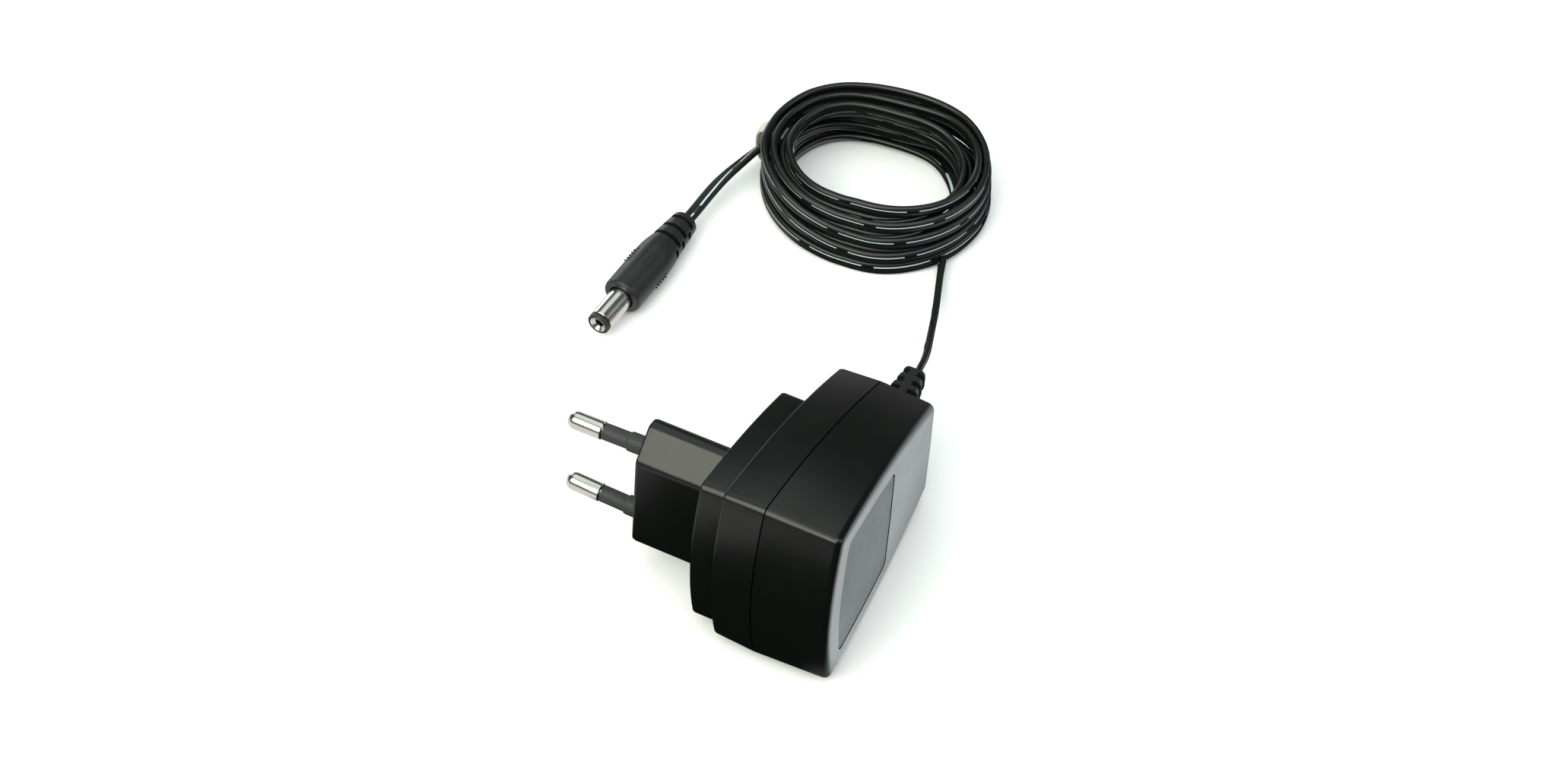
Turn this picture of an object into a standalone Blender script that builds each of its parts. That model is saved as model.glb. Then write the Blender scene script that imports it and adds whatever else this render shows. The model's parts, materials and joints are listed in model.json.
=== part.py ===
"""Plug-in mains adapter with two round pins, lying on its long side, and its coiled low-voltage lead.

The adapter is drawn in its own axes: X runs from the pins to the label face, Y from the rounded
near end to the lead's strain relief, and Z from one long side to the other. An empty carries the
whole adapter, turned so that one tapered long side rests on the ground. The lead, its coil and
the barrel plug lie on the same ground and are drawn in ground axes. All lengths are metres.
"""

import math

import bmesh
import bpy
from mathutils import Matrix, Vector

# General fits
CLEARANCE = 0.0003
WALL = 0.0022
FINE_EDGE = 0.0001
HALF = 0.5

# Contact pins of the two-pole plug
PIN_LENGTH = 0.019
PIN_DIAMETER = 0.004
PIN_SPACING_BASE = 0.0186
PIN_SPACING_TIP = 0.0175
PIN_NECK_DIAMETER = 0.0024
PIN_FLANGE_DIAMETER = 0.0046
PIN_FLANGE_THICKNESS = 0.0010
PIN_TAIL_LENGTH = 0.0020
PIN_EDGE = 0.0002
NOSE_STEPS = 6
SLEEVE_LENGTH = 0.0104
SLEEVE_DIAMETER = 0.0037
SLEEVE_ROOT = 0.0020
COLLAR_LENGTH = 0.0044
COLLAR_DIAMETER = 0.0043
CONTACT_WIDTH = 0.0030
CONTACT_THICKNESS = 0.0004
CONTACT_FOOT = 0.0030

# Plug boss, the block that carries the pins
BOSS_DEPTH = 0.0180
BOSS_LENGTH = 0.0346
BOSS_THICKNESS = 0.0137
BOSS_TAPER = 0.0062
BOSS_END_FLAT = 0.0024
BOSS_EDGE = 0.0009
BOSS_FRONT_WALL = 0.0040
BOSS_WALL = 0.0018

# Housing outline at the parting plane, seen along X
NEAR_Y = -0.0143
FAR_Y = 0.0401
NEAR_HALF_HEIGHT = 0.0209
FAR_HALF_HEIGHT = 0.0125
SIDE_BULGE = 0.00245
NEAR_BULGE = 0.00375
FAR_BULGE = 0.0003
CORNER_RADIUS = 0.0022
LEAST_CORNER = 0.0006

# Housing depths along X
PLINTH_DEPTH = 0.0059
PLINTH_SIDE_STEP = 0.0020
PLINTH_NEAR_STEP = 0.0025
PLINTH_FAR_STEP = 0.0156
PLINTH_EDGE = 0.0007
FRONT_DEPTH = 0.0096
FRONT_DRAFT = 0.0005
FRONT_EDGE = 0.0008
BACK_DEPTH_NEAR = 0.0171
BACK_DEPTH_FAR = 0.0128
BACK_DRAFT = 0.00055
BACK_EDGE = 0.0017
LIP_STEP = 0.0010
LIP_HEIGHT = 0.0014

# Recess and film on the label face
RECESS_DEPTH = 0.0006
RECESS_SIDE = 0.0052
RECESS_NEAR = 0.0066
RECESS_FAR_Y = 0.0157
RECESS_CORNER = 0.0016
FILM_THICKNESS = 0.0002

# Circuit board and its seats
BOARD_THICKNESS = 0.0016
BOARD_LIFT = 0.0014
BOARD_EDGE_GAP = 0.0008
BOARD_CORNER = 0.0012
POST_DIAMETER = 0.0028
POST_NEAR_Y = -0.0105
POST_FAR_Y = 0.0325

# Strain relief at the far end
RELIEF_LENGTH = 0.0169
RELIEF_OFFSET = 0.0019
RELIEF_TURN = math.radians(5)
RELIEF_ROOT_WIDTH = 0.0082
RELIEF_ROOT_HEIGHT = 0.0074
RELIEF_END_WIDTH = 0.0050
RELIEF_END_HEIGHT = 0.0050
RELIEF_ROUND = 0.0011
RELIEF_NECK = 0.0060
RELIEF_FLANGE = 0.0092
RELIEF_FLANGE_DEPTH = 0.0020
RELIEF_END_ROUND = 0.0007
RELIEF_ROWS = 4
RELIEF_PITCH = 0.0031
RELIEF_SEGMENT = 0.0013
RELIEF_SLOT = 0.0016
RELIEF_SPINE = 0.0018

# Parts of the circuit
GAP = 0.0006
BODY_LIFT = 0.0003
LEAD_WIRE = 0.0007
CAN_DIAMETER = 0.0080
CAN_HEIGHT = 0.0125
CAN_EASE = 0.0004
CAN_WAIST = 0.0012
DIODE_LENGTH = 0.0050
DIODE_DIAMETER = 0.0027
DIODE_PITCH = 0.0100
BRIDGE_DIODES = 4
AXIAL_EASE = 0.25
FUSE_LENGTH = 0.0065
FUSE_DIAMETER = 0.0032
FUSE_PITCH = 0.0100
DRUM_DIAMETER = 0.0058
DRUM_HEIGHT = 0.0080
DRUM_FLANGE = 0.0012
DRUM_WAIST = 0.0007
DISC_THICKNESS = 0.0034
DISC_LEG = 0.0008
SNUBBER_DIAMETER = 0.0055
SAFETY_DIAMETER = 0.0075
CHIP_SIZE = (0.0049, 0.0039, 0.0015)
COUPLER_SIZE = (0.0046, 0.0062, 0.0034)
CHIP_EDGE = 0.0002
LEG_WIDTH = 0.0004
LEG_REACH = 0.0006
CORE_LENGTH = 0.0160
CORE_HALF_DEPTH = 0.0072
CORE_THICKNESS = 0.0048
CORE_LEG = 0.0040
CORE_YOKE = 0.0022
BOBBIN_WALL = 0.0006
BOBBIN_FLANGE = 0.0006
WINDING_BUILD = 0.0021
OUTPUT_DIODE_LENGTH = 0.0055
OUTPUT_DIODE_DIAMETER = 0.0036
OUTPUT_DIODE_PITCH = 0.0085
SMALL_CAN_DIAMETER = 0.0063
SMALL_CAN_HEIGHT = 0.0110
WIRE_DIAMETER = 0.0011
WIRE_REACH = 0.0020
WIRE_SPREAD = 0.0018

# Flat twin lead
CORD_TUBE_DIAMETER = 0.0022
CORD_STEP = 0.0052
COIL_CENTRE = (-0.0168, 0.0912)
COIL_OUTER_RADIUS = 0.0255
COIL_INNER_RADIUS = 0.0172
COIL_HEIGHT = 0.0140
COIL_ROUND = 0.0025
LEAD_POINTS = (
    (0.0176, 0.0425, 0.0120), (0.0163, 0.0467, 0.0104), (0.0148, 0.0510, 0.0087),
    (0.0130, 0.0562, 0.0068), (0.0111, 0.0617, 0.0050), (0.0093, 0.0664, 0.0036),
    (0.0076, 0.0708, 0.0026), (0.0064, 0.0742, 0.0020), (0.0056, 0.0765, 0.0018))
TAIL_POINTS = (
    (-0.0435, 0.0902, 0.0060), (-0.0461, 0.0868, 0.0060), (-0.0476, 0.0830, 0.0058),
    (-0.0486, 0.0797, 0.0056), (-0.0496, 0.0758, 0.0053), (-0.0501, 0.0720, 0.0050),
    (-0.0504, 0.0675, 0.0048))

# Tie around the coil
TIE_ANGLE = math.radians(176)
TIE_WIDTH = 0.0030
TIE_THICKNESS = 0.0005
TIE_ROUND = 0.0016
TIE_KNOT = (0.0022, 0.0024, 0.0042)
TIE_KNOT_LIFT = 0.0062

# Barrel plug on the free end of the lead
PLUG_TIP = (-0.0534, 0.0250)
PLUG_HEADING = math.radians(86.1)
BARREL_DIAMETER = 0.0055
BARREL_LENGTH = 0.0095
BARREL_WALL = 0.0003
BARREL_SEAT = 0.0030
RING_LENGTH = 0.0010
RING_EASE = 0.0003
SOCKET_DIAMETER = 0.0021
SOCKET_MOUTH = 0.0037
CONTACT_WALL = 0.0003
SOCKET_SHORT = 0.0015
SOCKET_FLOOR = 0.0010
PLUG_BODY_DIAMETER = 0.0092
PLUG_BODY_TOTAL = 0.0270
PLUG_GRIP_LENGTH = 0.0125
PLUG_SHOULDER_LENGTH = 0.0050
PLUG_SHOULDER_DIAMETER = 0.0080
PLUG_REAR_DIAMETER = 0.0062
PLUG_FRONT_ROUND = 0.0008
PLUG_REAR_ROUND = 0.0009
PLUG_GROOVES = 3
PLUG_GROOVE_PITCH = 0.0031
PLUG_GROOVE_WIDTH = 0.0011
PLUG_LAST_SEGMENT = 0.0022
PLUG_CORE_DIAMETER = 0.0046
LONG_GROOVE = math.radians(146)
SHORT_GROOVE = math.radians(44)

# The adapter lies on a long side, turned about X until the widest stretch of that side is lowest
REST_TURN = math.radians(-7.4)

# Derived planes along X
PLINTH_X = BOSS_DEPTH
BODY_X = PLINTH_X + PLINTH_DEPTH
PARTING_X = BODY_X + FRONT_DEPTH
BOARD_X = BODY_X + WALL + BOARD_LIFT
BOARD_TOP_X = BOARD_X + BOARD_THICKNESS
LABEL_SLOPE = (BACK_DEPTH_FAR - BACK_DEPTH_NEAR) / (FAR_Y - NEAR_Y)


def clear_scene():
    """Remove whatever the file already holds."""
    for old in list(bpy.data.objects):
        bpy.data.objects.remove(old, do_unlink=True)


def finish(name, colour, roughness, metallic):
    """A plain surface finish."""
    made = bpy.data.materials.new(name)
    made.use_nodes = True
    shader = made.node_tree.nodes["Principled BSDF"]
    shader.inputs["Base Color"].default_value = (*colour, 1.0)
    shader.inputs["Roughness"].default_value = roughness
    shader.inputs["Metallic"].default_value = metallic
    return made


def add_object(name, shape, surface, carrier=None, smooth_angle=35):
    """Turn a bmesh into a named object with its finish, on the empty that carries it."""
    mesh = bpy.data.meshes.new(name)
    shape.to_mesh(mesh)
    shape.free()
    made = bpy.data.objects.new(name, mesh)
    bpy.context.collection.objects.link(made)
    if surface is not None:
        mesh.materials.append(surface)
    if smooth_angle:
        mesh.shade_smooth()
        mesh.set_sharp_from_angle(angle=math.radians(smooth_angle))
    made.parent = carrier
    return made


def add_tool(name, shape, carrier=None):
    """A hidden shape that only cuts or joins."""
    made = add_object(name, shape, None, carrier, smooth_angle=0)
    made.hide_render = True
    made.display_type = "WIRE"
    return made


def combine(target, tool, operation):
    """Cut a tool away from the target, or join it on."""
    step = target.modifiers.new(f"{operation.lower()}_{tool.name}", "BOOLEAN")
    step.operation = operation
    step.object = tool
    step.solver = "EXACT"


def facing_out(shape):
    """Turn every face of a closed shape outwards."""
    bmesh.ops.recalc_face_normals(shape, faces=shape.faces)
    if shape.calc_volume(signed=True) < 0:
        bmesh.ops.reverse_faces(shape, faces=shape.faces)
    return shape


def loft(rings, closed=False):
    """Skin a chain of rings that have the same number of points; flat caps close both ends."""
    shape = bmesh.new()
    loops = [[shape.verts.new(point) for point in ring] for ring in rings]
    pairs = list(zip(loops, loops[1:]))
    if closed:
        pairs.append((loops[-1], loops[0]))
    for low, high in pairs:
        count = len(low)
        for index in range(count):
            after = (index + 1) % count
            shape.faces.new((low[index], low[after], high[after], high[index]))
    if not closed:
        shape.faces.new(list(reversed(loops[0])))
        shape.faces.new(loops[-1])
    return facing_out(shape)


def turned(profile, segments, centre=(0.0, 0.0, 0.0), axis=(1.0, 0.0, 0.0), ring=False):
    """Spin a profile of (distance along the axis, radius) pairs once round the axis."""
    shape = bmesh.new()
    along = Vector(axis).normalized()
    side = along.orthogonal().normalized()
    points = [Vector(centre) + along * run + side * radius for run, radius in profile]
    verts = [shape.verts.new(point) for point in points]
    edges = [shape.edges.new(pair) for pair in zip(verts, verts[1:])]
    if ring:
        edges.append(shape.edges.new((verts[-1], verts[0])))
    bmesh.ops.spin(shape, geom=verts + edges, cent=centre, axis=along, angle=math.tau,
                   steps=segments, use_merge=True)
    bmesh.ops.remove_doubles(shape, verts=shape.verts, dist=1e-6)
    return facing_out(shape)


def block(low, high, edge=0.0, segments=1):
    """A rectangular block between two corners, with its edges eased."""
    shape = bmesh.new()
    centre = [(a + b) * HALF for a, b in zip(low, high)]
    size = [b - a for a, b in zip(low, high)]
    place = Matrix.Translation(centre) @ Matrix.Diagonal((*size, 1.0))
    bmesh.ops.create_cube(shape, size=1.0, matrix=place)
    if edge > 0:
        bmesh.ops.bevel(shape, geom=shape.edges[:], offset=edge, segments=segments,
                        affect="EDGES", profile=0.5, material=-1)
    return facing_out(shape)


def merge(shapes):
    """Put several separate shapes into one bmesh."""
    whole = bmesh.new()
    for shape in shapes:
        scratch = bpy.data.meshes.new("scratch")
        shape.to_mesh(scratch)
        shape.free()
        whole.from_mesh(scratch)
        bpy.data.meshes.remove(scratch)
    return whole


def prism(outline, start, end, lift):
    """Extrude a flat outline of (u, v) pairs; lift turns (u, v, depth) into a point."""
    return loft([[lift(u, v, depth) for u, v in outline] for depth in (start, end)])


# Housing outline


def bulged_circle(first, second, bulge):
    """Centre and radius of the arc from first to second that bulges to the left by bulge."""
    first, second = Vector(first), Vector(second)
    chord = (second - first).length
    radius = chord * chord / (8 * bulge) + bulge * HALF
    run = (second - first) / chord
    outward = Vector((-run.y, run.x))
    return (first + second) * HALF - outward * (radius - bulge), radius


def meeting(one, two, guess):
    """The crossing of two circles that lies nearest to a guess."""
    (centre_a, radius_a), (centre_b, radius_b) = one, two
    gap = centre_b - centre_a
    distance = gap.length
    along = (distance ** 2 + radius_a ** 2 - radius_b ** 2) / (2 * distance)
    across = math.sqrt(max(radius_a ** 2 - along ** 2, 0.0))
    run = gap / distance
    base = centre_a + run * along
    offset = Vector((-run.y, run.x)) * across
    return min((base + offset, base - offset), key=lambda point: (point - Vector(guess)).length)


def arc(centre, radius, start, end, segments):
    """Points along an arc, both ends included."""
    turn = (end - start + math.pi) % math.tau - math.pi
    angles = [start + turn * step / segments for step in range(segments + 1)]
    return [Vector((centre.x + radius * math.cos(a), centre.y + radius * math.sin(a))) for a in angles]


def bearing(centre, point):
    return math.atan2(point.y - centre.y, point.x - centre.x)


def outline(side=0.0, near=0.0, far=0.0, corner=CORNER_RADIUS):
    """The housing's outline in (Y, Z), moved in by its own amount at the sides and at each end."""
    side_centre, side_radius = bulged_circle(
        (NEAR_Y, NEAR_HALF_HEIGHT), (FAR_Y, FAR_HALF_HEIGHT), SIDE_BULGE)
    near_centre, near_radius = bulged_circle(
        (NEAR_Y, -NEAR_HALF_HEIGHT), (NEAR_Y, NEAR_HALF_HEIGHT), NEAR_BULGE)
    far_centre, far_radius = bulged_circle(
        (FAR_Y, FAR_HALF_HEIGHT), (FAR_Y, -FAR_HALF_HEIGHT), FAR_BULGE)
    side_radius -= side
    near_centre = near_centre + Vector((near, 0.0))
    far_centre = far_centre - Vector((far, 0.0))
    near_fillet = meeting((near_centre, near_radius - corner), (side_centre, side_radius - corner),
                          (NEAR_Y, NEAR_HALF_HEIGHT))
    far_fillet = meeting((far_centre, far_radius - corner), (side_centre, side_radius - corner),
                         (FAR_Y - far, FAR_HALF_HEIGHT))
    near_angle = bearing(near_centre, near_fillet)
    side_start = bearing(side_centre, near_fillet)
    side_end = bearing(side_centre, far_fillet)
    far_angle = bearing(far_centre, far_fillet)
    upper = arc(near_centre, near_radius, math.pi, near_angle, 7)
    upper += arc(near_fillet, corner, near_angle, side_start, 5)[1:]
    upper += arc(side_centre, side_radius, side_start, side_end, 12)[1:]
    upper += arc(far_fillet, corner, side_end, far_angle, 5)[1:]
    upper += arc(far_centre, far_radius, far_angle, 0.0, 1)[1:]
    lower = [Vector((point.x, -point.y)) for point in reversed(upper[1:-1])]
    return upper + lower


def even(inset):
    """The outline moved in evenly, with its corners drawn tighter."""
    return outline(inset, inset, inset, max(CORNER_RADIUS - inset, LEAST_CORNER))


def plinth_outline(inset):
    """The outline of the raised plinth that the boss stands on."""
    return outline(PLINTH_SIDE_STEP + inset, PLINTH_NEAR_STEP + inset, PLINTH_FAR_STEP + inset,
                   max(CORNER_RADIUS - inset, LEAST_CORNER))


def flat_ring(points, depth):
    """Place an outline across X at one depth."""
    return [(depth, point.x, point.y) for point in points]


def label_x(y, below=0.0):
    """Depth of the slanting label face at a place along Y."""
    return PARTING_X + BACK_DEPTH_NEAR + (y - NEAR_Y) * LABEL_SLOPE - below


def slanted_ring(points, below):
    """Place an outline parallel to the slanting label face, some way below it."""
    return [(label_x(point.x, below), point.x, point.y) for point in points]


def quarter(radius, steps):
    """Inset and drop of the points round an eased edge, from the face to the side."""
    turns = [math.pi * HALF * (1 - step / steps) for step in range(steps + 1)]
    return [(radius * (1 - math.cos(turn)), radius * (1 - math.sin(turn))) for turn in turns]


# Housing


def back_shell(surface, carrier):
    """Rear cup with a slanting label face, a weld lip, a label recess and long board posts."""
    rings = [slanted_ring(even(BACK_DRAFT + inset), drop) for inset, drop in quarter(BACK_EDGE, 4)]
    rim = PARTING_X + CLEARANCE * HALF
    lip = LIP_STEP + CLEARANCE
    rings.append(flat_ring(even(0.0), rim))
    rings.append(flat_ring(even(lip), rim))
    rings.append(flat_ring(even(lip), PARTING_X - LIP_HEIGHT))
    rings.append(flat_ring(even(WALL), PARTING_X - LIP_HEIGHT))
    rings.append(slanted_ring(even(WALL + BACK_DRAFT), WALL))
    return add_object("back_shell", loft(rings), surface, carrier)


def front_shell(surface, carrier):
    """Front cup with its plinth; the pocket behind the plinth opens into the body."""
    rings = [flat_ring(plinth_outline(inset), PLINTH_X + drop)
             for inset, drop in quarter(PLINTH_EDGE, 2)]
    rings.append(flat_ring(plinth_outline(0.0), BODY_X))
    rings += [flat_ring(even(FRONT_DRAFT + inset), BODY_X + drop)
              for inset, drop in quarter(FRONT_EDGE, 2)]
    rim = PARTING_X - CLEARANCE * HALF
    rings.append(flat_ring(even(0.0), rim))
    rings.append(flat_ring(even(LIP_STEP), rim))
    rings.append(flat_ring(even(LIP_STEP), PARTING_X - LIP_HEIGHT - CLEARANCE))
    rings.append(flat_ring(even(WALL), PARTING_X - LIP_HEIGHT - CLEARANCE))
    rings.append(flat_ring(even(WALL + FRONT_DRAFT), BODY_X + WALL))
    rings.append(flat_ring(plinth_outline(WALL), BODY_X + WALL))
    rings.append(flat_ring(plinth_outline(WALL), PLINTH_X + WALL))
    return add_object("front_shell", loft(rings), surface, carrier)


def boss_outline(inset=0.0):
    """Boss section in (Y, Z): flat long sides, and narrow ends drawn in by slanting corners."""
    half_y = BOSS_THICKNESS * HALF - inset
    half_z = BOSS_LENGTH * HALF - inset
    straight = BOSS_LENGTH * HALF - BOSS_TAPER - inset * HALF
    flat = max(BOSS_END_FLAT * HALF - inset * HALF, FINE_EDGE)
    upper = ((half_y, straight), (flat, half_z), (-flat, half_z), (-half_y, straight))
    return upper + tuple((-y, -z) for y, z in upper)


def across_x(u, v, depth):
    """Place an outline drawn in (Y, Z) at a depth along X."""
    return (depth, u, v)


def boss_shape():
    """The solid boss, rooted in the plinth's front wall, with eased edges."""
    root = PLINTH_X + WALL * HALF
    shape = prism(boss_outline(), 0.0, root, across_x)
    eased = [edge for edge in shape.edges if min(vert.co.x for vert in edge.verts) < root * HALF]
    bmesh.ops.bevel(shape, geom=eased, offset=BOSS_EDGE, segments=2, affect="EDGES",
                    profile=0.5, material=-1)
    return facing_out(shape)


def pin_frame(sign):
    """Foot of one pin on the boss face, and its slightly leaning direction."""
    foot = Vector((0.0, 0.0, sign * PIN_SPACING_BASE * HALF))
    lean = sign * (PIN_SPACING_BASE - PIN_SPACING_TIP) * HALF / PIN_LENGTH
    return foot, Vector((-1.0, 0.0, -lean)).normalized()


def pin_hole(sign):
    """Stepped hole: wide at the face for the sleeve's collar, narrow behind it for the neck."""
    foot, lean = pin_frame(sign)
    wide = COLLAR_DIAMETER * HALF + CLEARANCE
    narrow = PIN_NECK_DIAMETER * HALF + CLEARANCE
    back = -BOSS_FRONT_WALL * 2
    step = -(SLEEVE_ROOT + CLEARANCE)
    front = SLEEVE_ROOT
    return turned(((back, 0), (back, narrow), (step, narrow), (step, wide), (front, wide), (front, 0)),
                  24, foot, lean)


def post(start, end, place):
    """Round post along X at a place in (Y, Z)."""
    radius = POST_DIAMETER * HALF
    return turned(((start, 0), (start, radius), (end, radius), (end, 0)), 12, (0.0, *place))


def board_inset():
    """How far the board's edge lies inside the outline at the parting plane."""
    return WALL + FRONT_DRAFT + BOARD_EDGE_GAP


def board_half(y):
    """Half height of the board at a place along Y."""
    centre, radius = bulged_circle((NEAR_Y, NEAR_HALF_HEIGHT), (FAR_Y, FAR_HALF_HEIGHT), SIDE_BULGE)
    return centre.y + math.sqrt((radius - board_inset()) ** 2 - (y - centre.x) ** 2)


def post_places():
    """Where the board is held, in (Y, Z), just inside its edge."""
    inside = POST_DIAMETER * HALF + GAP
    return [(y, sign * (board_half(y) - inside)) for y in (POST_NEAR_Y, POST_FAR_Y) for sign in (1, -1)]


def fit_front_shell(shell, carrier):
    """Add the boss, hollow it, drill it for the pins and set the board's seats."""
    combine(shell, add_tool("boss_solid", boss_shape(), carrier), "UNION")
    hollow = prism(boss_outline(BOSS_WALL), BOSS_FRONT_WALL, PLINTH_X + WALL + CLEARANCE, across_x)
    combine(shell, add_tool("boss_hollow", hollow, carrier), "DIFFERENCE")
    holes = merge([pin_hole(sign) for sign in (1, -1)])
    combine(shell, add_tool("pin_holes", holes, carrier), "DIFFERENCE")
    seats = merge([post(BODY_X + WALL * HALF, BOARD_X - CLEARANCE, place) for place in post_places()])
    combine(shell, add_tool("board_seats", seats, carrier), "UNION")


def fit_back_shell(shell, carrier):
    """Cut the label recess and add the posts that hold the board down."""
    recess = loft([slanted_ring(recess_outline(0.0), RECESS_DEPTH),
                   slanted_ring(recess_outline(0.0), -RECESS_DEPTH)])
    combine(shell, add_tool("label_recess", recess, carrier), "DIFFERENCE")
    posts = merge([post(BOARD_TOP_X + CLEARANCE, label_x(place[0], WALL * HALF), place)
                   for place in post_places()])
    combine(shell, add_tool("board_posts", posts, carrier), "UNION")


def recess_outline(inset):
    """Outline of the label recess, which follows the near part of the housing."""
    return outline(RECESS_SIDE + inset, RECESS_NEAR + inset, FAR_Y - RECESS_FAR_Y + inset, RECESS_CORNER)


def label_film(surface, carrier):
    """Thin bare film that lies in the label recess."""
    seat = RECESS_DEPTH - CLEARANCE
    rings = [slanted_ring(recess_outline(CLEARANCE), drop) for drop in (seat, seat - FILM_THICKNESS)]
    return add_object("label_film", loft(rings), surface, carrier)


# Pins


def mains_pin(sign):
    """Turned pin: tail, flange behind the boss wall, neck under the sleeve, and round-nosed shank."""
    foot, lean = pin_frame(sign)
    radius = PIN_DIAMETER * HALF
    neck = PIN_NECK_DIAMETER * HALF
    seat = -(BOSS_FRONT_WALL + CLEARANCE)
    flange = seat - PIN_FLANGE_THICKNESS
    tail = flange - PIN_TAIL_LENGTH
    shank = SLEEVE_LENGTH + CLEARANCE
    profile = [(tail, 0.0), (tail, neck), (flange, neck), (flange, PIN_FLANGE_DIAMETER * HALF),
               (seat, PIN_FLANGE_DIAMETER * HALF), (seat, neck), (shank, neck),
               (shank, radius - PIN_EDGE), (shank + PIN_EDGE, radius)]
    turns = [math.pi * HALF * step / NOSE_STEPS for step in range(NOSE_STEPS)]
    nose = PIN_LENGTH - radius
    profile += [(nose + radius * math.sin(turn), radius * math.cos(turn)) for turn in turns]
    profile += [(PIN_LENGTH, 0.0)]
    return turned(profile, 24, foot, lean)


def pin_sleeve(sign):
    """Insulating sleeve with a thicker collar that is rooted in the boss."""
    foot, lean = pin_frame(sign)
    bore = PIN_NECK_DIAMETER * HALF + CLEARANCE
    collar = COLLAR_DIAMETER * HALF
    tube = SLEEVE_DIAMETER * HALF
    slope = collar - tube
    profile = ((-SLEEVE_ROOT, bore), (-SLEEVE_ROOT, collar), (COLLAR_LENGTH, collar),
               (COLLAR_LENGTH + slope, tube), (SLEEVE_LENGTH, tube), (SLEEVE_LENGTH, bore))
    return turned(profile, 24, foot, lean, ring=True)


def pin_contact(sign):
    """Spring strip from behind the pin's tail to the circuit board, as one bent outline."""
    start = BOSS_FRONT_WALL + PIN_FLANGE_THICKNESS + PIN_TAIL_LENGTH + 3 * CLEARANCE
    end = BOARD_X - CLEARANCE
    low = (PIN_SPACING_BASE - CONTACT_FOOT) * HALF
    high = low + CONTACT_FOOT
    strip = CONTACT_THICKNESS
    path = ((start, high), (start, low), (end, low), (end, high), (end - strip, high),
            (end - strip, low + strip), (start + strip, low + strip), (start + strip, high))
    width = CONTACT_WIDTH * HALF
    return prism([(x, sign * z) for x, z in path], -width, width, lambda u, v, d: (u, d, v))


def pin_pair(metal, insulation, brass, carrier):
    """Two round pins with insulating sleeves, and the spring contacts behind them."""
    for name, sign in (("line", 1), ("neutral", -1)):
        add_object(f"{name}_pin", mains_pin(sign), metal, carrier)
        add_object(f"{name}_pin_sleeve", pin_sleeve(sign), insulation, carrier)
        add_object(f"{name}_contact", pin_contact(sign), brass, carrier)


# Strain relief


def rounded_rectangle(width, height, corner, segments=3):
    """A rectangle with rounded corners, as (u, v) pairs."""
    points = []
    for turn, (u, v) in enumerate(((1, 1), (-1, 1), (-1, -1), (1, -1))):
        middle = Vector((u * (width * HALF - corner), v * (height * HALF - corner)))
        start = turn * math.pi * HALF
        points += arc(middle, corner, start, start + math.pi * HALF, segments)
    return [(point.x, point.y) for point in points]


def relief_wall_y():
    """Outermost place of the far wall on the middle plane."""
    return FAR_Y + FAR_BULGE


def relief_inner_y():
    """Where the strain relief's inner flange bears against the far wall."""
    return relief_wall_y() - WALL - BACK_DRAFT - CLEARANCE


def relief_x(y):
    """Middle of the strain relief along X; its tail leans towards the pins past the wall."""
    past = max(0.0, y - relief_wall_y())
    return PARTING_X + RELIEF_OFFSET - past * math.tan(RELIEF_TURN)


def relief_shape():
    """Inner flange, neck through the wall, and a tapered, leaning tail with a rounded end."""
    inner = relief_inner_y()
    outer = relief_wall_y() + CLEARANCE
    end = relief_wall_y() + RELIEF_LENGTH

    def ring(y, width, height, corner=RELIEF_ROUND):
        return [(relief_x(y) + u, y, v) for u, v in rounded_rectangle(width, height, corner)]

    rings = [ring(inner - RELIEF_FLANGE_DEPTH, RELIEF_FLANGE, RELIEF_FLANGE),
             ring(inner, RELIEF_FLANGE, RELIEF_FLANGE),
             ring(inner, RELIEF_NECK, RELIEF_NECK),
             ring(outer, RELIEF_NECK, RELIEF_NECK),
             ring(outer, RELIEF_ROOT_WIDTH, RELIEF_ROOT_HEIGHT)]
    for inset, drop in reversed(quarter(RELIEF_END_ROUND, 3)):
        rings.append(ring(end - drop, RELIEF_END_WIDTH - 2 * inset, RELIEF_END_HEIGHT - 2 * inset,
                          RELIEF_ROUND - inset * HALF))
    return loft(rings)


def relief_slots():
    """Slots from both sides, row by row, that leave only a spine in the middle."""
    slots = []
    first = relief_wall_y() + RELIEF_LENGTH - RELIEF_SEGMENT - RELIEF_SLOT * HALF
    for row in range(RELIEF_ROWS):
        middle = first - row * RELIEF_PITCH
        for sign in (1, -1):
            near = relief_x(middle) + sign * RELIEF_SPINE * HALF
            far = relief_x(middle) + sign * RELIEF_ROOT_WIDTH
            low = (min(near, far), middle - RELIEF_SLOT * HALF, -RELIEF_ROOT_HEIGHT)
            high = (max(near, far), middle + RELIEF_SLOT * HALF, RELIEF_ROOT_HEIGHT)
            slots.append(block(low, high))
    return merge(slots)


def strain_relief(surface, carrier):
    """Moulded block held in the far wall, with a slotted tail that the lead comes out of."""
    made = add_object("strain_relief", relief_shape(), surface, carrier)
    combine(made, add_tool("relief_slots", relief_slots(), carrier), "DIFFERENCE")
    return made


def relief_opening(shells, carrier):
    """Square hole through the far wall, most of it in the rear shell."""
    reach = RELIEF_NECK * HALF + CLEARANCE
    middle = relief_x(0.0)
    low = (middle - reach, FAR_Y - 2 * WALL, -reach)
    high = (middle + reach, FAR_Y + 2 * WALL, reach)
    opening = add_tool("relief_opening", block(low, high), carrier)
    for shell in shells:
        combine(shell, opening, "DIFFERENCE")


# Circuit board and what it carries


def on_board(height=0.0):
    """Depth of a point some way above the component side of the board."""
    return BOARD_TOP_X + CLEARANCE + height


def at_edge(y, reach):
    """Distance from the middle line of a part that reaches that far towards the board's edge."""
    return board_half(y) - GAP - reach


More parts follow.
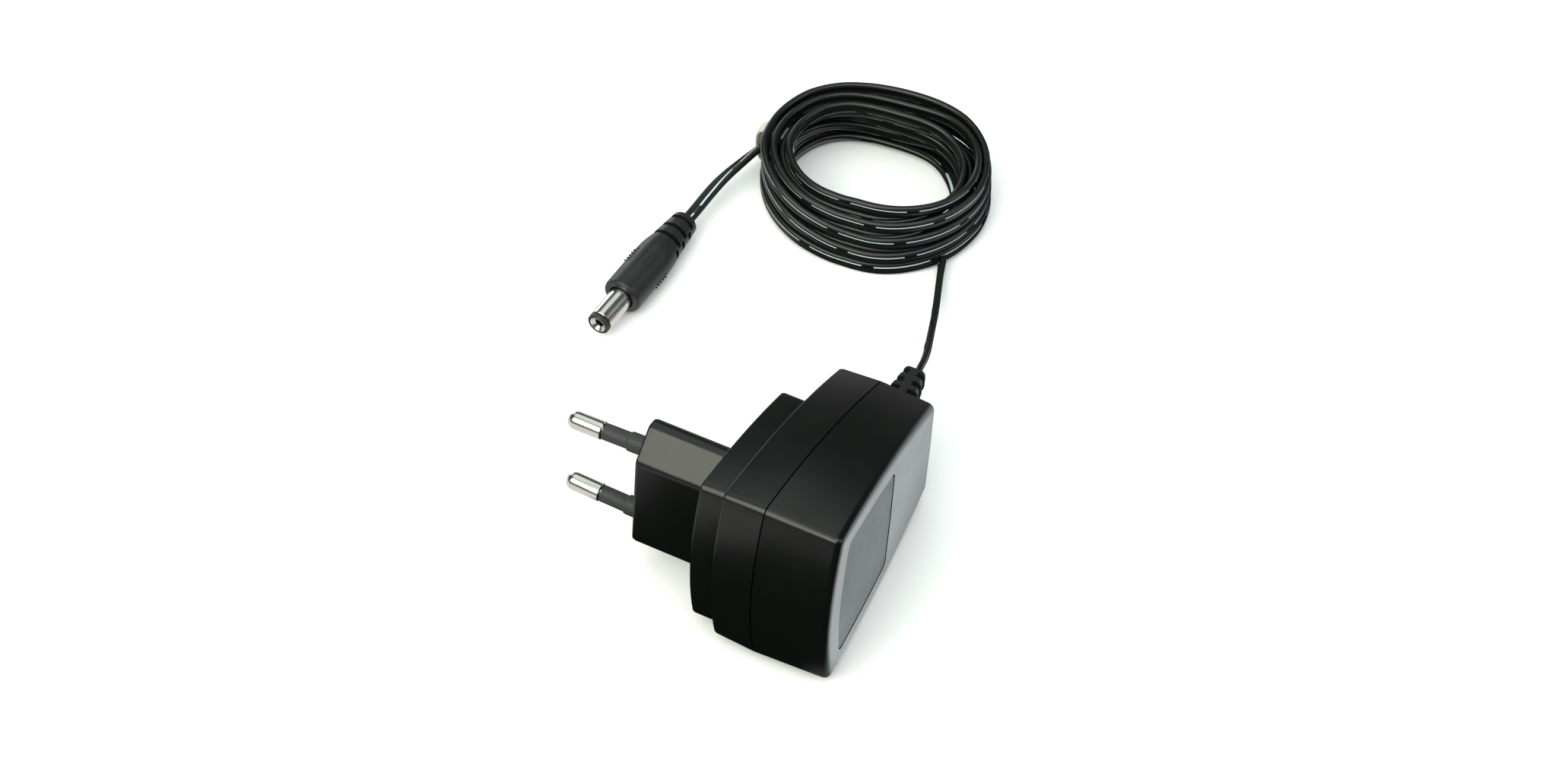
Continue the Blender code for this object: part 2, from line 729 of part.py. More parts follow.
def circuit_board(surface, carrier):
    """The board, cut to the inside of the housing, with room for the strain relief's flange."""
    inset = board_inset()
    relief_room = relief_wall_y() - relief_inner_y() + RELIEF_FLANGE_DEPTH + CLEARANCE
    shape = outline(inset, inset, max(inset, relief_room), BOARD_CORNER)
    rings = [flat_ring(shape, BOARD_X), flat_ring(shape, BOARD_TOP_X)]
    return add_object("circuit_board", loft(rings), surface, carrier)


def electrolytic(name, place, diameter, height, surface, carrier):
    """Round can with a crimped waist near its base and an eased top edge."""
    radius = diameter * HALF
    base = on_board()
    ease = CAN_EASE
    profile = ((0, 0), (0, radius - ease), (ease, radius), (CAN_WAIST, radius),
               (CAN_WAIST + ease, radius - ease), (CAN_WAIST + 2 * ease, radius),
               (height - ease, radius), (height, radius - ease), (height, 0))
    shape = turned([(base + run, reach) for run, reach in profile], 16, (0.0, *place))
    return add_object(name, shape, surface, carrier)


def axial(name, place, length, diameter, pitch, surface, carrier):
    """Part that lies along Y, with a lead at each end bent down to the board."""
    y, z = place
    lift = on_board(diameter * HALF + BODY_LIFT)
    wire = LEAD_WIRE * HALF
    end, foot, radius = length * HALF, pitch * HALF, diameter * HALF
    ease = radius * AXIAL_EASE
    half = ((end - ease, radius), (end, radius - ease), (end, wire), (foot, wire), (foot, 0))
    profile = [(-run, reach) for run, reach in reversed(half)] + list(half)
    made = add_object(name, turned(profile, 12, (lift, y, z), (0.0, 1.0, 0.0)), surface, carrier)
    legs = [block((on_board(), y + side * foot - wire, z - wire),
                  (lift + wire, y + side * foot + wire, z + wire)) for side in (1, -1)]
    combine(made, add_tool(f"{name}_legs", merge(legs), carrier), "UNION")
    return made


def drum_choke(name, place, surface, carrier):
    """Drum core with its winding between two flanges, turned as one piece."""
    radius = DRUM_DIAMETER * HALF
    base = on_board()
    waist = radius - DRUM_WAIST
    top = DRUM_HEIGHT - DRUM_FLANGE
    profile = ((0, 0), (0, radius), (DRUM_FLANGE, radius), (DRUM_FLANGE, waist), (top, waist),
               (top, radius), (DRUM_HEIGHT, radius), (DRUM_HEIGHT, 0))
    shape = turned([(base + run, reach) for run, reach in profile], 16, (0.0, *place))
    return add_object(name, shape, surface, carrier)


def disc_capacitor(name, place, diameter, surface, carrier):
    """Coated lens-shaped disc that stands on edge on two short legs."""
    y, z = place
    radius = diameter * HALF
    half = DISC_THICKNESS * HALF
    middle = on_board(radius + DISC_LEG)
    turns = [math.pi * step / 6 for step in range(7)]
    profile = [(-half * math.cos(turn), radius * math.sin(turn) ** HALF) for turn in turns[1:-1]]
    profile = [(-half, 0)] + [(-half, radius * HALF)] + profile + [(half, radius * HALF), (half, 0)]
    made = add_object(name, turned(profile, 18, (middle, y, z), (0.0, 1.0, 0.0)), surface, carrier)
    wire = LEAD_WIRE * HALF
    legs = [block((on_board(), y - wire, z + side * radius * HALF - wire),
                  (middle, y + wire, z + side * radius * HALF + wire)) for side in (1, -1)]
    combine(made, add_tool(f"{name}_legs", merge(legs), carrier), "UNION")
    return made


def chip(name, place, size, legs, surface, carrier):
    """Moulded package with a row of bent legs down each side."""
    y, z = place
    length, width, height = size
    base = on_board(BODY_LIFT)
    made = add_object(name, block((base, y - length * HALF, z - width * HALF),
                                  (base + height, y + length * HALF, z + width * HALF), CHIP_EDGE),
                      surface, carrier)
    pitch = length / legs
    pieces = []
    for index in range(legs):
        middle = y - length * HALF + pitch * (index + HALF)
        for side in (1, -1):
            root = z + side * (width * HALF - LEG_REACH)
            toe = z + side * (width * HALF + LEG_REACH)
            pieces.append(block((on_board(), middle - LEG_WIDTH * HALF, min(root, toe)),
                                (base + height * HALF, middle + LEG_WIDTH * HALF, max(root, toe))))
    combine(made, add_tool(f"{name}_legs", merge(pieces), carrier), "UNION")
    return made


def core_half(place_y, axis_x, side):
    """One E-shaped half of the transformer's core, open towards the other half."""
    half_length = CORE_LENGTH * HALF
    leg = CORE_LEG * HALF
    window = half_length - leg
    face = CLEARANCE * HALF
    yoke = CORE_HALF_DEPTH - CORE_YOKE
    back = CORE_HALF_DEPTH
    path = ((face, -half_length), (back, -half_length), (back, half_length), (face, half_length),
            (face, window), (yoke, window), (yoke, leg), (face, leg), (face, -leg),
            (yoke, -leg), (yoke, -window), (face, -window))
    return prism([(place_y + side * u, v) for u, v in path], axis_x - CORE_THICKNESS * HALF,
                 axis_x + CORE_THICKNESS * HALF, across_x)


def transformer(place_y, ferrite, plastic, tape, carrier):
    """Two E-shaped core halves that meet inside a bobbin, with the taped winding on it."""
    tube_x = CORE_THICKNESS * HALF + CLEARANCE + BOBBIN_WALL
    tube_z = CORE_LEG * HALF + CLEARANCE + BOBBIN_WALL
    rim_x = tube_x + CLEARANCE + WINDING_BUILD
    rim_z = (CORE_LENGTH - CORE_LEG) * HALF - CLEARANCE
    axis_x = on_board(BODY_LIFT + rim_x)
    half = CORE_HALF_DEPTH - CORE_YOKE - CLEARANCE
    low, high = place_y - half, place_y + half

    def frame(y, half_x, half_z, corner):
        return [(axis_x + u, y, v) for u, v in rounded_rectangle(2 * half_x, 2 * half_z, corner, 2)]

    for letter, side in (("a", 1), ("b", -1)):
        add_object(f"transformer_core_{letter}", core_half(place_y, axis_x, side), ferrite, carrier, 0)
    ease = BOBBIN_WALL
    inner_low, inner_high = low + BOBBIN_FLANGE, high - BOBBIN_FLANGE
    bore_x, bore_z = tube_x - BOBBIN_WALL, tube_z - BOBBIN_WALL
    rings = [frame(low, rim_x, rim_z, ease), frame(inner_low, rim_x, rim_z, ease),
             frame(inner_low, tube_x, tube_z, ease), frame(inner_high, tube_x, tube_z, ease),
             frame(inner_high, rim_x, rim_z, ease), frame(high, rim_x, rim_z, ease),
             frame(high, bore_x, bore_z, ease * HALF), frame(low, bore_x, bore_z, ease * HALF)]
    bobbin = add_object("transformer_bobbin", loft(rings, closed=True), plastic, carrier)
    foot_top = axis_x - tube_x - CLEARANCE
    feet = [block((on_board(), edge, -tube_z), (foot_top, edge + BOBBIN_FLANGE, tube_z))
            for edge in (low, inner_high)]
    combine(bobbin, add_tool("bobbin_feet", merge(feet), carrier), "UNION")
    start, end = inner_low + CLEARANCE, inner_high - CLEARANCE
    wound_x, wound_z = tube_x + CLEARANCE, tube_z + CLEARANCE
    over_x = wound_x + WINDING_BUILD - CLEARANCE
    over_z = min(wound_z + WINDING_BUILD - CLEARANCE, rim_z)
    rings = [frame(start, wound_x, wound_z, ease), frame(start, over_x, over_z, 2 * ease),
             frame(end, over_x, over_z, 2 * ease), frame(end, wound_x, wound_z, ease)]
    add_object("transformer_winding", loft(rings, closed=True), tape, carrier)


def output_wires(surfaces, carrier):
    """Two thin wires from the strain relief's inner flange down to the board."""
    start = relief_inner_y() - RELIEF_FLANGE_DEPTH - CLEARANCE
    bend = WIRE_REACH * HALF
    top = relief_x(start)
    for name, side, surface in (("positive", 1, surfaces[0]), ("negative", -1, surfaces[1])):
        z = side * WIRE_SPREAD
        points = ((top, start, z), (top, start - bend, z),
                  (top - bend * HALF, start - bend - bend * HALF, z),
                  (top - bend - bend * HALF, start - WIRE_REACH, z),
                  (on_board(), start - WIRE_REACH, z))
        tube(f"output_wire_{name}", points, WIRE_DIAMETER, 1, surface, carrier)


def fill_board(finishes, carrier):
    """Place the circuit's parts from the near end to the far end, a named gap apart."""
    black, grey, blue, core = (finishes[key] for key in ("package", "fuse", "can", "ferrite"))
    near_edge = NEAR_Y - NEAR_BULGE + board_inset()
    can_y = near_edge + GAP + CAN_DIAMETER * HALF
    can_z = (CAN_DIAMETER + GAP) * HALF
    for number, side in ((1, 1), (2, -1)):
        electrolytic(f"input_capacitor_{number}", (can_y, side * can_z), CAN_DIAMETER, CAN_HEIGHT,
                     blue, carrier)
    diode_y = can_y + CAN_DIAMETER * HALF + GAP + (DIODE_PITCH + LEAD_WIRE) * HALF
    for number in range(BRIDGE_DIODES):
        z = (number - (BRIDGE_DIODES - 1) * HALF) * (DIODE_DIAMETER + GAP)
        axial(f"rectifier_diode_{number + 1}", (diode_y, z), DIODE_LENGTH, DIODE_DIAMETER, DIODE_PITCH,
              black, carrier)
    fuse_z = at_edge(diode_y + FUSE_PITCH * HALF, FUSE_DIAMETER * HALF)
    axial("fuse_resistor", (diode_y, fuse_z), FUSE_LENGTH, FUSE_DIAMETER, FUSE_PITCH, grey, carrier)
    drum_choke("filter_choke", (diode_y, -at_edge(diode_y + DRUM_DIAMETER * HALF, DRUM_DIAMETER * HALF)),
               core, carrier)
    core_y = diode_y + (DIODE_PITCH + LEAD_WIRE) * HALF + GAP + CORE_HALF_DEPTH
    transformer(core_y, core, black, finishes["tape"], carrier)
    chip_z = at_edge(core_y, CHIP_SIZE[1] * HALF + LEG_REACH)
    chip("controller_chip", (core_y, chip_z), CHIP_SIZE, 4, black, carrier)
    disc_capacitor("snubber_capacitor", (core_y, -at_edge(core_y, SNUBBER_DIAMETER * HALF)),
                   SNUBBER_DIAMETER, finishes["brown"], carrier)
    core_end = core_y + CORE_HALF_DEPTH + GAP
    coupler_y = core_end + COUPLER_SIZE[0] * HALF
    coupler_z = at_edge(core_end + COUPLER_SIZE[0], COUPLER_SIZE[1] * HALF + LEG_REACH)
    chip("optocoupler", (coupler_y, -coupler_z), COUPLER_SIZE, 2, black, carrier)
    disc_y = core_end + DISC_THICKNESS * HALF
    disc_capacitor("safety_capacitor", (disc_y, at_edge(disc_y, SAFETY_DIAMETER * HALF)),
                   SAFETY_DIAMETER, finishes["disc"], carrier)
    output_y = core_end + (OUTPUT_DIODE_PITCH + LEAD_WIRE) * HALF
    axial("output_diode", (output_y, 0.0), OUTPUT_DIODE_LENGTH, OUTPUT_DIODE_DIAMETER,
          OUTPUT_DIODE_PITCH, black, carrier)
    small_y = core_end + COUPLER_SIZE[0] + GAP + SMALL_CAN_DIAMETER * HALF
    small_z = (OUTPUT_DIODE_DIAMETER + SMALL_CAN_DIAMETER) * HALF + GAP
    for number, side in ((1, 1), (2, -1)):
        electrolytic(f"output_capacitor_{number}", (small_y, side * small_z), SMALL_CAN_DIAMETER,
                     SMALL_CAN_HEIGHT, blue, carrier)


# Lead, coil and plug


def tube(name, points, diameter, sides, surface, carrier=None):
    """A round cord along a chain of points, with flat ends."""
    curve = bpy.data.curves.new(name, "CURVE")
    curve.dimensions = "3D"
    curve.bevel_depth = diameter * HALF
    curve.bevel_resolution = sides
    curve.use_fill_caps = True
    spline = curve.splines.new("POLY")
    spline.points.add(len(points) - 1)
    for place, point in zip(spline.points, points):
        place.co = (*point, 1.0)
    made = bpy.data.objects.new(name, curve)
    curve.materials.append(surface)
    bpy.context.collection.objects.link(made)
    made.parent = carrier
    return made


def smooth_route(points, step):
    """Read evenly spaced points from a smooth curve through the route's own points."""
    route = [Vector(point) for point in points]
    before = [route[0] * 2 - route[1]] + route[:-1]
    after = route[1:] + [route[-1] * 2 - route[-2]]
    fine = []
    for index in range(len(route) - 1):
        p0, p1, p2 = before[index], route[index], route[index + 1]
        p3 = after[index + 1]
        for part in range(12):
            t = part / 12
            fine.append(HALF * (2 * p1 + (p2 - p0) * t + (2 * p0 - 5 * p1 + 4 * p2 - p3) * t * t
                                + (3 * p1 - p0 - 3 * p2 + p3) * t ** 3))
    fine.append(route[-1])
    lengths = [0.0]
    for first, second in zip(fine, fine[1:]):
        lengths.append(lengths[-1] + (second - first).length)
    count = max(2, round(lengths[-1] / step))
    spaced = []
    for index in range(count + 1):
        target = lengths[-1] * index / count
        place = max(i for i, run in enumerate(lengths) if run <= target + 1e-12)
        place = min(place, len(fine) - 2)
        share = (target - lengths[place]) / (lengths[place + 1] - lengths[place])
        spaced.append(fine[place].lerp(fine[place + 1], share))
    return spaced


def coil(surface):
    """The outer shape of the wound turns, notched underneath where the tie passes."""
    outer, inner, ease = COIL_OUTER_RADIUS, COIL_INNER_RADIUS, COIL_ROUND
    profile = [(FINE_EDGE, inner + ease * HALF), (FINE_EDGE, outer - ease * HALF), (ease * HALF, outer)]
    profile += [(COIL_HEIGHT - ease, outer), (COIL_HEIGHT, outer - ease), (COIL_HEIGHT, inner + ease)]
    profile += [(COIL_HEIGHT - ease, inner), (ease * HALF, inner)]
    centre = (*COIL_CENTRE, 0.0)
    made = add_object("cord_coil", turned(profile, 48, centre, (0, 0, 1), ring=True), surface)
    half = TIE_WIDTH * HALF + CLEARANCE
    notch = block((inner - ease, -half, -ease), (outer + ease, half, TIE_THICKNESS + 2 * CLEARANCE))
    notch.transform(tie_place())
    combine(made, add_tool("tie_notch", notch), "DIFFERENCE")
    return made


def tie_place():
    """The tie's own axes: X outwards from the coil's centre, Z up."""
    return Matrix.Translation((*COIL_CENTRE, 0.0)) @ Matrix.Rotation(TIE_ANGLE, 4, "Z")


def tie(surface):
    """Flat tie looped round all the turns, with its twisted ends on the outside."""
    low_r = COIL_INNER_RADIUS - CLEARANCE - TIE_THICKNESS
    high_r = COIL_OUTER_RADIUS + CLEARANCE + TIE_THICKNESS
    low_z = CLEARANCE * HALF
    high_z = COIL_HEIGHT + CLEARANCE + TIE_THICKNESS
    middle = Vector(((low_r + high_r) * HALF, (low_z + high_z) * HALF))

    def frame(y, inset, corner):
        pairs = rounded_rectangle(high_r - low_r - 2 * inset, high_z - low_z - 2 * inset, corner, 3)
        return [(middle.x + u, y, middle.y + v) for u, v in pairs]

    half = TIE_WIDTH * HALF
    hole = TIE_THICKNESS
    tight = TIE_ROUND - hole
    rings = [frame(-half, 0.0, TIE_ROUND), frame(half, 0.0, TIE_ROUND),
             frame(half, hole, tight), frame(-half, hole, tight)]
    shape = loft(rings, closed=True)
    shape.transform(tie_place())
    made = add_object("cord_tie", shape, surface)
    size_x, size_y, size_z = TIE_KNOT
    knot = block((high_r - hole * HALF, -size_y * HALF, TIE_KNOT_LIFT),
                 (high_r + size_x, size_y * HALF, TIE_KNOT_LIFT + size_z), hole)
    knot.transform(tie_place())
    combine(made, add_tool("tie_knot", knot), "UNION")
    return made


def plug_axis():
    """Front centre of the barrel plug and the direction towards its cord."""
    height = PLUG_BODY_DIAMETER * HALF + FINE_EDGE
    run = Vector((math.cos(PLUG_HEADING), math.sin(PLUG_HEADING), 0.0))
    return Vector((*PLUG_TIP, height)), run


def plug_rear():
    """Centre of the plug's rear face, where the cord meets it."""
    tip, run = plug_axis()
    return tip + run * (BARREL_LENGTH + PLUG_BODY_TOTAL)


def plug(nickel, rubber, plastic):
    """Barrel plug: outer barrel, insulating ring and tube, socket contact and moulded body."""
    tip, run = plug_axis()
    outer = BARREL_DIAMETER * HALF
    seat = BARREL_LENGTH + BARREL_SEAT
    start = RING_LENGTH + CLEARANCE
    barrel = ((start, outer - BARREL_WALL), (start, outer - FINE_EDGE),
              (start + FINE_EDGE, outer), (seat, outer), (seat, outer - BARREL_WALL))
    add_object("plug_barrel", turned(barrel, 28, tip, run, ring=True), nickel)
    mouth = SOCKET_MOUTH * HALF
    bore = SOCKET_DIAMETER * HALF
    flare = mouth - bore
    rim = mouth + FINE_EDGE
    shank = bore + CONTACT_WALL
    rear = seat - SOCKET_SHORT
    floor = rear - SOCKET_FLOOR
    socket = ((FINE_EDGE, mouth), (FINE_EDGE, rim), (flare + 2 * FINE_EDGE, shank), (rear, shank),
              (rear, 0), (floor, 0), (floor, bore), (flare, bore))
    profile = socket[4:] + socket[:5]
    add_object("plug_socket", turned(profile, 24, tip, run), nickel)
    tube_out = outer - BARREL_WALL - CLEARANCE
    tube_in = shank + CLEARANCE
    edge = rim + CLEARANCE
    end = seat - 2 * CLEARANCE
    insulator = ((0.0, edge), (0.0, outer - RING_EASE - FINE_EDGE), (RING_EASE, outer - FINE_EDGE),
                 (RING_LENGTH, outer - FINE_EDGE), (RING_LENGTH, tube_out), (end, tube_out),
                 (end, tube_in), (flare + CLEARANCE + 2 * FINE_EDGE, tube_in))
    add_object("plug_insulator", turned(insulator, 28, tip, run, ring=True), plastic)
    profile = plug_profile(seat + CLEARANCE, outer + CLEARANCE)
    made = add_object("plug_body", turned(profile, 32, tip, run), rubber)
    combine(made, add_tool("plug_grooves", plug_grooves()), "DIFFERENCE")
    return made


def plug_profile(floor, hole):
    """Moulded body: socket for the barrel, eased front, straight grip, taper and rounded end."""
    body = PLUG_BODY_DIAMETER * HALF
    front = BARREL_LENGTH
    rear = front + PLUG_BODY_TOTAL
    grip = front + PLUG_GRIP_LENGTH
    shoulder = grip + PLUG_SHOULDER_LENGTH
    points = [(floor, 0.0), (floor, hole), (front, hole)]
    points += [(front + drop, body - inset) for inset, drop in quarter(PLUG_FRONT_ROUND, 3)]
    points += [(grip, body)]
    drop_in = body - PLUG_SHOULDER_DIAMETER * HALF
    turns = [math.pi * HALF * step / 3 for step in (1, 2)]
    points += [(grip + PLUG_SHOULDER_LENGTH * math.sin(turn * HALF) / math.sin(math.pi / 4),
                body - drop_in * (1 - math.cos(turn))) for turn in turns]
    points += [(shoulder, body - drop_in)]
    end = PLUG_REAR_DIAMETER * HALF
    points += [(rear - drop, end - inset) for inset, drop in reversed(quarter(PLUG_REAR_ROUND, 3))]
    points += [(rear, 0.0)]
    return points


def sector(profile, centre_turn, sweep, segments):
    """Spin a closed (distance, radius) outline part of the way round X, with flat ends."""
    shape = bmesh.new()
    verts = [shape.verts.new((run, radius, 0.0)) for run, radius in profile]
    face = shape.faces.new(verts)
    shape.transform(Matrix.Rotation(centre_turn - sweep * HALF, 4, "X"))
    bmesh.ops.spin(shape, geom=[face], cent=(0, 0, 0), axis=(1, 0, 0), angle=sweep, steps=segments)
    return facing_out(shape)


def plug_grooves():
    """Long grooves above and below and short ones at the sides, which let the tail flex."""
    tip, run = plug_axis()
    core = PLUG_CORE_DIAMETER * HALF
    reach = PLUG_BODY_DIAMETER
    half = PLUG_GROOVE_WIDTH * HALF
    first = BARREL_LENGTH + PLUG_BODY_TOTAL - PLUG_LAST_SEGMENT
    pieces = []
    for index in range(PLUG_GROOVES):
        long_middle = first - index * PLUG_GROOVE_PITCH
        short_middle = long_middle - PLUG_GROOVE_PITCH * HALF
        rows = ((long_middle, LONG_GROOVE, (90, 270)), (short_middle, SHORT_GROOVE, (0, 180)))
        for middle, sweep, turns in rows:
            low, high = middle - half, middle + half
            outline_box = ((low, core), (high, core), (high, reach), (low, reach))
            for turn in turns:
                pieces.append(sector(outline_box, math.radians(turn), sweep, 5))
    shape = merge(pieces)
    shape.transform(Matrix.Translation(tip) @ Matrix.Rotation(PLUG_HEADING, 4, "Z"))
    return shape


def build():
    clear_scene()
    black = finish("housing_black", (0.012, 0.012, 0.012), 0.35, 0.0)
    film = finish("film_black", (0.020, 0.021, 0.022), 0.45, 0.0)
    nickel = finish("nickel", (0.70, 0.68, 0.64), 0.18, 1.0)
    sleeve = finish("sleeve_black", (0.016, 0.017, 0.018), 0.55, 0.0)
    brass = finish("brass", (0.72, 0.52, 0.25), 0.35, 1.0)
    rubber = finish("cord_black", (0.014, 0.016, 0.016), 0.5, 0.0)
    white = finish("tie_white", (0.80, 0.79, 0.74), 0.5, 0.0)
    board = finish("board_green", (0.03, 0.16, 0.06), 0.5, 0.0)
    can = finish("can_blue", (0.03, 0.05, 0.12), 0.35, 0.0)
    dark = finish("package_black", (0.02, 0.02, 0.02), 0.5, 0.0)
    grey = finish("fuse_grey", (0.35, 0.38, 0.36), 0.6, 0.0)
    ferrite = finish("ferrite", (0.06, 0.06, 0.065), 0.5, 0.0)
    tape = finish("winding_tape", (0.75, 0.55, 0.06), 0.4, 0.0)
    disc_blue = finish("disc_blue", (0.05, 0.18, 0.45), 0.4, 0.0)
    disc_brown = finish("disc_brown", (0.45, 0.22, 0.06), 0.45, 0.0)
    red = finish("wire_red", (0.5, 0.03, 0.02), 0.4, 0.0)

    adapter = bpy.data.objects.new("adapter_axes", None)
    bpy.context.collection.objects.link(adapter)

    front = front_shell(black, adapter)
    back = back_shell(black, adapter)
    fit_front_shell(front, adapter)
    fit_back_shell(back, adapter)
    relief_opening((front, back), adapter)
    label_film(film, adapter)
    pin_pair(nickel, sleeve, brass, adapter)
    strain_relief(rubber, adapter)

    circuit_board(board, adapter)
    fill_board({"package": dark, "fuse": grey, "can": can, "ferrite": ferrite, "tape": tape,
                "brown": disc_brown, "disc": disc_blue}, adapter)
    output_wires((red, dark), adapter)

    place_adapter(adapter)
    exit_y = relief_wall_y() + RELIEF_LENGTH + CLEARANCE
    exit_point = adapter.matrix_basis @ Vector((relief_x(exit_y), exit_y, 0.0))
    tube("cord_lead", smooth_route((exit_point, *LEAD_POINTS), CORD_STEP), CORD_TUBE_DIAMETER, 2, rubber)
    coil(rubber)
    tie(white)
    tip, run = plug_axis()
    rear = plug_rear() + run * CLEARANCE
    tube("cord_tail", smooth_route((*TAIL_POINTS, rear), CORD_STEP), CORD_TUBE_DIAMETER, 2, rubber)
    plug(nickel, rubber, dark)


def place_adapter(adapter):
    """Lay the adapter on its side, with the ground under its lowest place and itself centred."""
    turn = Matrix.Rotation(REST_TURN, 4, "X")
    corners = []
    for piece in adapter.children:
        if piece.type == "MESH" and not piece.hide_render:
            corners += [turn @ vert.co for vert in piece.data.vertices]
    low = [min(point[axis] for point in corners) for axis in range(3)]
    high = [max(point[axis] for point in corners) for axis in range(3)]
    place = Vector((-(low[0] + high[0]) * HALF, -(low[1] + high[1]) * HALF, -low[2]))
    adapter.matrix_basis = Matrix.Translation(place) @ turn


build()
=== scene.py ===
# %% [markdown]
# # A plug-in mains adapter and its coiled lead
#
# The object is a small black mains adapter that lies on one long side. Two sleeved round pins
# stand on a boss, the boss stands on a plinth, and two moulded shells close over the circuit.
# A flat twin lead leaves the far end through a slotted strain relief, runs under a loose coil
# and ends in a barrel plug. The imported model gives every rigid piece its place. This script
# gives them their surfaces and adds the pieces that only a picture needs, such as the turns of
# the coil.

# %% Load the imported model
import json
import math

import bmesh
import bpy
import numpy as np
from mathutils import Matrix, Vector
from mathutils.bvhtree import BVHTree


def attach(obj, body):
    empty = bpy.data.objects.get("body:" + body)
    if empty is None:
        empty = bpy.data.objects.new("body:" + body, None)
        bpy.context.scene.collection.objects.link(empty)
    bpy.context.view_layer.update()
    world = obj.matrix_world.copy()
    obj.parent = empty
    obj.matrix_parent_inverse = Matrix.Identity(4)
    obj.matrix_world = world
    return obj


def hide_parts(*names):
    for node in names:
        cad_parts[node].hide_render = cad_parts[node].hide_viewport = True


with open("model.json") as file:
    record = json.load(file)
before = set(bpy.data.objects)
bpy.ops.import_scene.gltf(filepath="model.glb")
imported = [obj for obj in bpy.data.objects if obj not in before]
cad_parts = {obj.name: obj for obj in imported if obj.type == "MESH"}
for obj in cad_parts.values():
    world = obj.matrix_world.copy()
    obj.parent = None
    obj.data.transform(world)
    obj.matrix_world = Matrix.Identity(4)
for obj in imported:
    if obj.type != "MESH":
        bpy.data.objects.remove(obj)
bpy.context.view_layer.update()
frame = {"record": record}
MM = 0.001
HALF = 0.5
UP = Vector((0, 0, 1))

# %% [markdown]
# ## The camera
#
# The photograph was taken from above the pins with a long lens. A camera can be aimed with a
# tracking constraint, but one aimed by eye never lines up well. Its place and its axes were
# worked out from the known sizes of the pins, so they are written here as they are. The frame
# is 2062 pixels wide, and the lens follows from the focal length in pixels.

# %% Camera
IMAGE_WIDTH = 2062
FOCAL_PIXELS = 5000
SENSOR_WIDTH = 36.0
NEAREST, FARTHEST = 0.01, 20.0
CAMERA_PLACE = Vector((0.236137, -0.443229, 0.633976))
CAMERA_RIGHT = Vector((0.88732, 0.46116, 0.0))
CAMERA_UP = Vector((-0.35185, 0.67698, 0.64645))


def add_camera():
    """A long lens at the photograph's own viewing angle."""
    data = bpy.data.cameras.new("camera")
    data.sensor_width = SENSOR_WIDTH
    data.sensor_fit = "HORIZONTAL"
    data.lens = SENSOR_WIDTH * FOCAL_PIXELS / IMAGE_WIDTH
    data.clip_start, data.clip_end = NEAREST, FARTHEST
    camera = bpy.data.objects.new("camera", data)
    bpy.context.collection.objects.link(camera)
    right = CAMERA_RIGHT.normalized()
    back = right.cross(CAMERA_UP).normalized()
    up = back.cross(right)
    turn = Matrix((right, up, back)).transposed().to_4x4()
    camera.matrix_world = Matrix.Translation(CAMERA_PLACE) @ turn
    bpy.context.scene.camera = camera
    print(f"lens {data.lens:.1f} mm, looking down at {math.degrees(math.asin(back.z)):.1f} degrees")


add_camera()

# %% [markdown]
# ## The route of the lead
#
# The lead is two round conductors moulded side by side, 3.1 mm wide and 1.6 mm thick, and
# 1.8 m long. Most of it lies in a loose coil. One clean helix would be easy to make, but it
# looks like a spring. So each turn has its own place in the bundle at four stations, which are
# the near side, the right, the far side and the left, and the lead eases from one to the next.
# The bundle's outside is not quite round either. The two free stretches follow given points.

# %% Sizes of the lead and its free stretches
LEAD_THICKNESS = 0.00155
STEP = 0.0026

LEAD_ROUTE = (
    (0.0182, 0.0368, 0.0134), (0.0179, 0.0390, 0.0131), (0.0174, 0.0426, 0.0120), (0.0163, 0.0467, 0.0104),
    (0.0148, 0.0510, 0.0087), (0.0130, 0.0562, 0.0068), (0.0111, 0.0617, 0.0050), (0.0093, 0.0664, 0.0036),
    (0.0076, 0.0708, 0.0026), (0.0060, 0.0751, 0.0019), (0.0045, 0.0793, 0.0017), (0.0028, 0.0840, 0.0016),
    (0.0014, 0.0888, 0.0015), (0.0004, 0.0930, 0.0014))
TAIL_ROUTE = (
    (-0.0446, 0.0925, 0.0062), (-0.0459, 0.0889, 0.0061), (-0.0470, 0.0852, 0.0059),
    (-0.0481, 0.0810, 0.0058), (-0.0493, 0.0766, 0.0054), (-0.0499, 0.0733, 0.0051),
    (-0.0503, 0.0695, 0.0049), (-0.0506, 0.0653, 0.0047), (-0.0509, 0.0614, 0.0047),
    (-0.0510, 0.0602, 0.0047))
print("points by hand:", len(LEAD_ROUTE), "before the coil and", len(TAIL_ROUTE), "after it")

# %% Places of the turns
FULL_TURN = 360
COIL_CENTRE = Vector((-0.0168, 0.0912, 0.0))
COIL_START = 14
COIL_END = 170
MEAN_RADIUS = 0.0207

# Outside of the bundle: angle round the centre in degrees, radius in millimetres
OUTSIDE = (
    (0, 24.0), (30, 23.9), (60, 23.6), (80, 22.8), (95, 22.5), (110, 22.9), (125, 24.0), (140, 25.6),
    (155, 26.9), (175, 27.5), (195, 27.4), (215, 25.8), (235, 24.1), (255, 22.5), (275, 21.7), (295, 22.3),
    (320, 22.9), (340, 23.6))

# Where the stations lie, in degrees past the near side, and where the near side is
STATIONS = (0, 95, 175, 270)
NEAR_ANGLE = 285

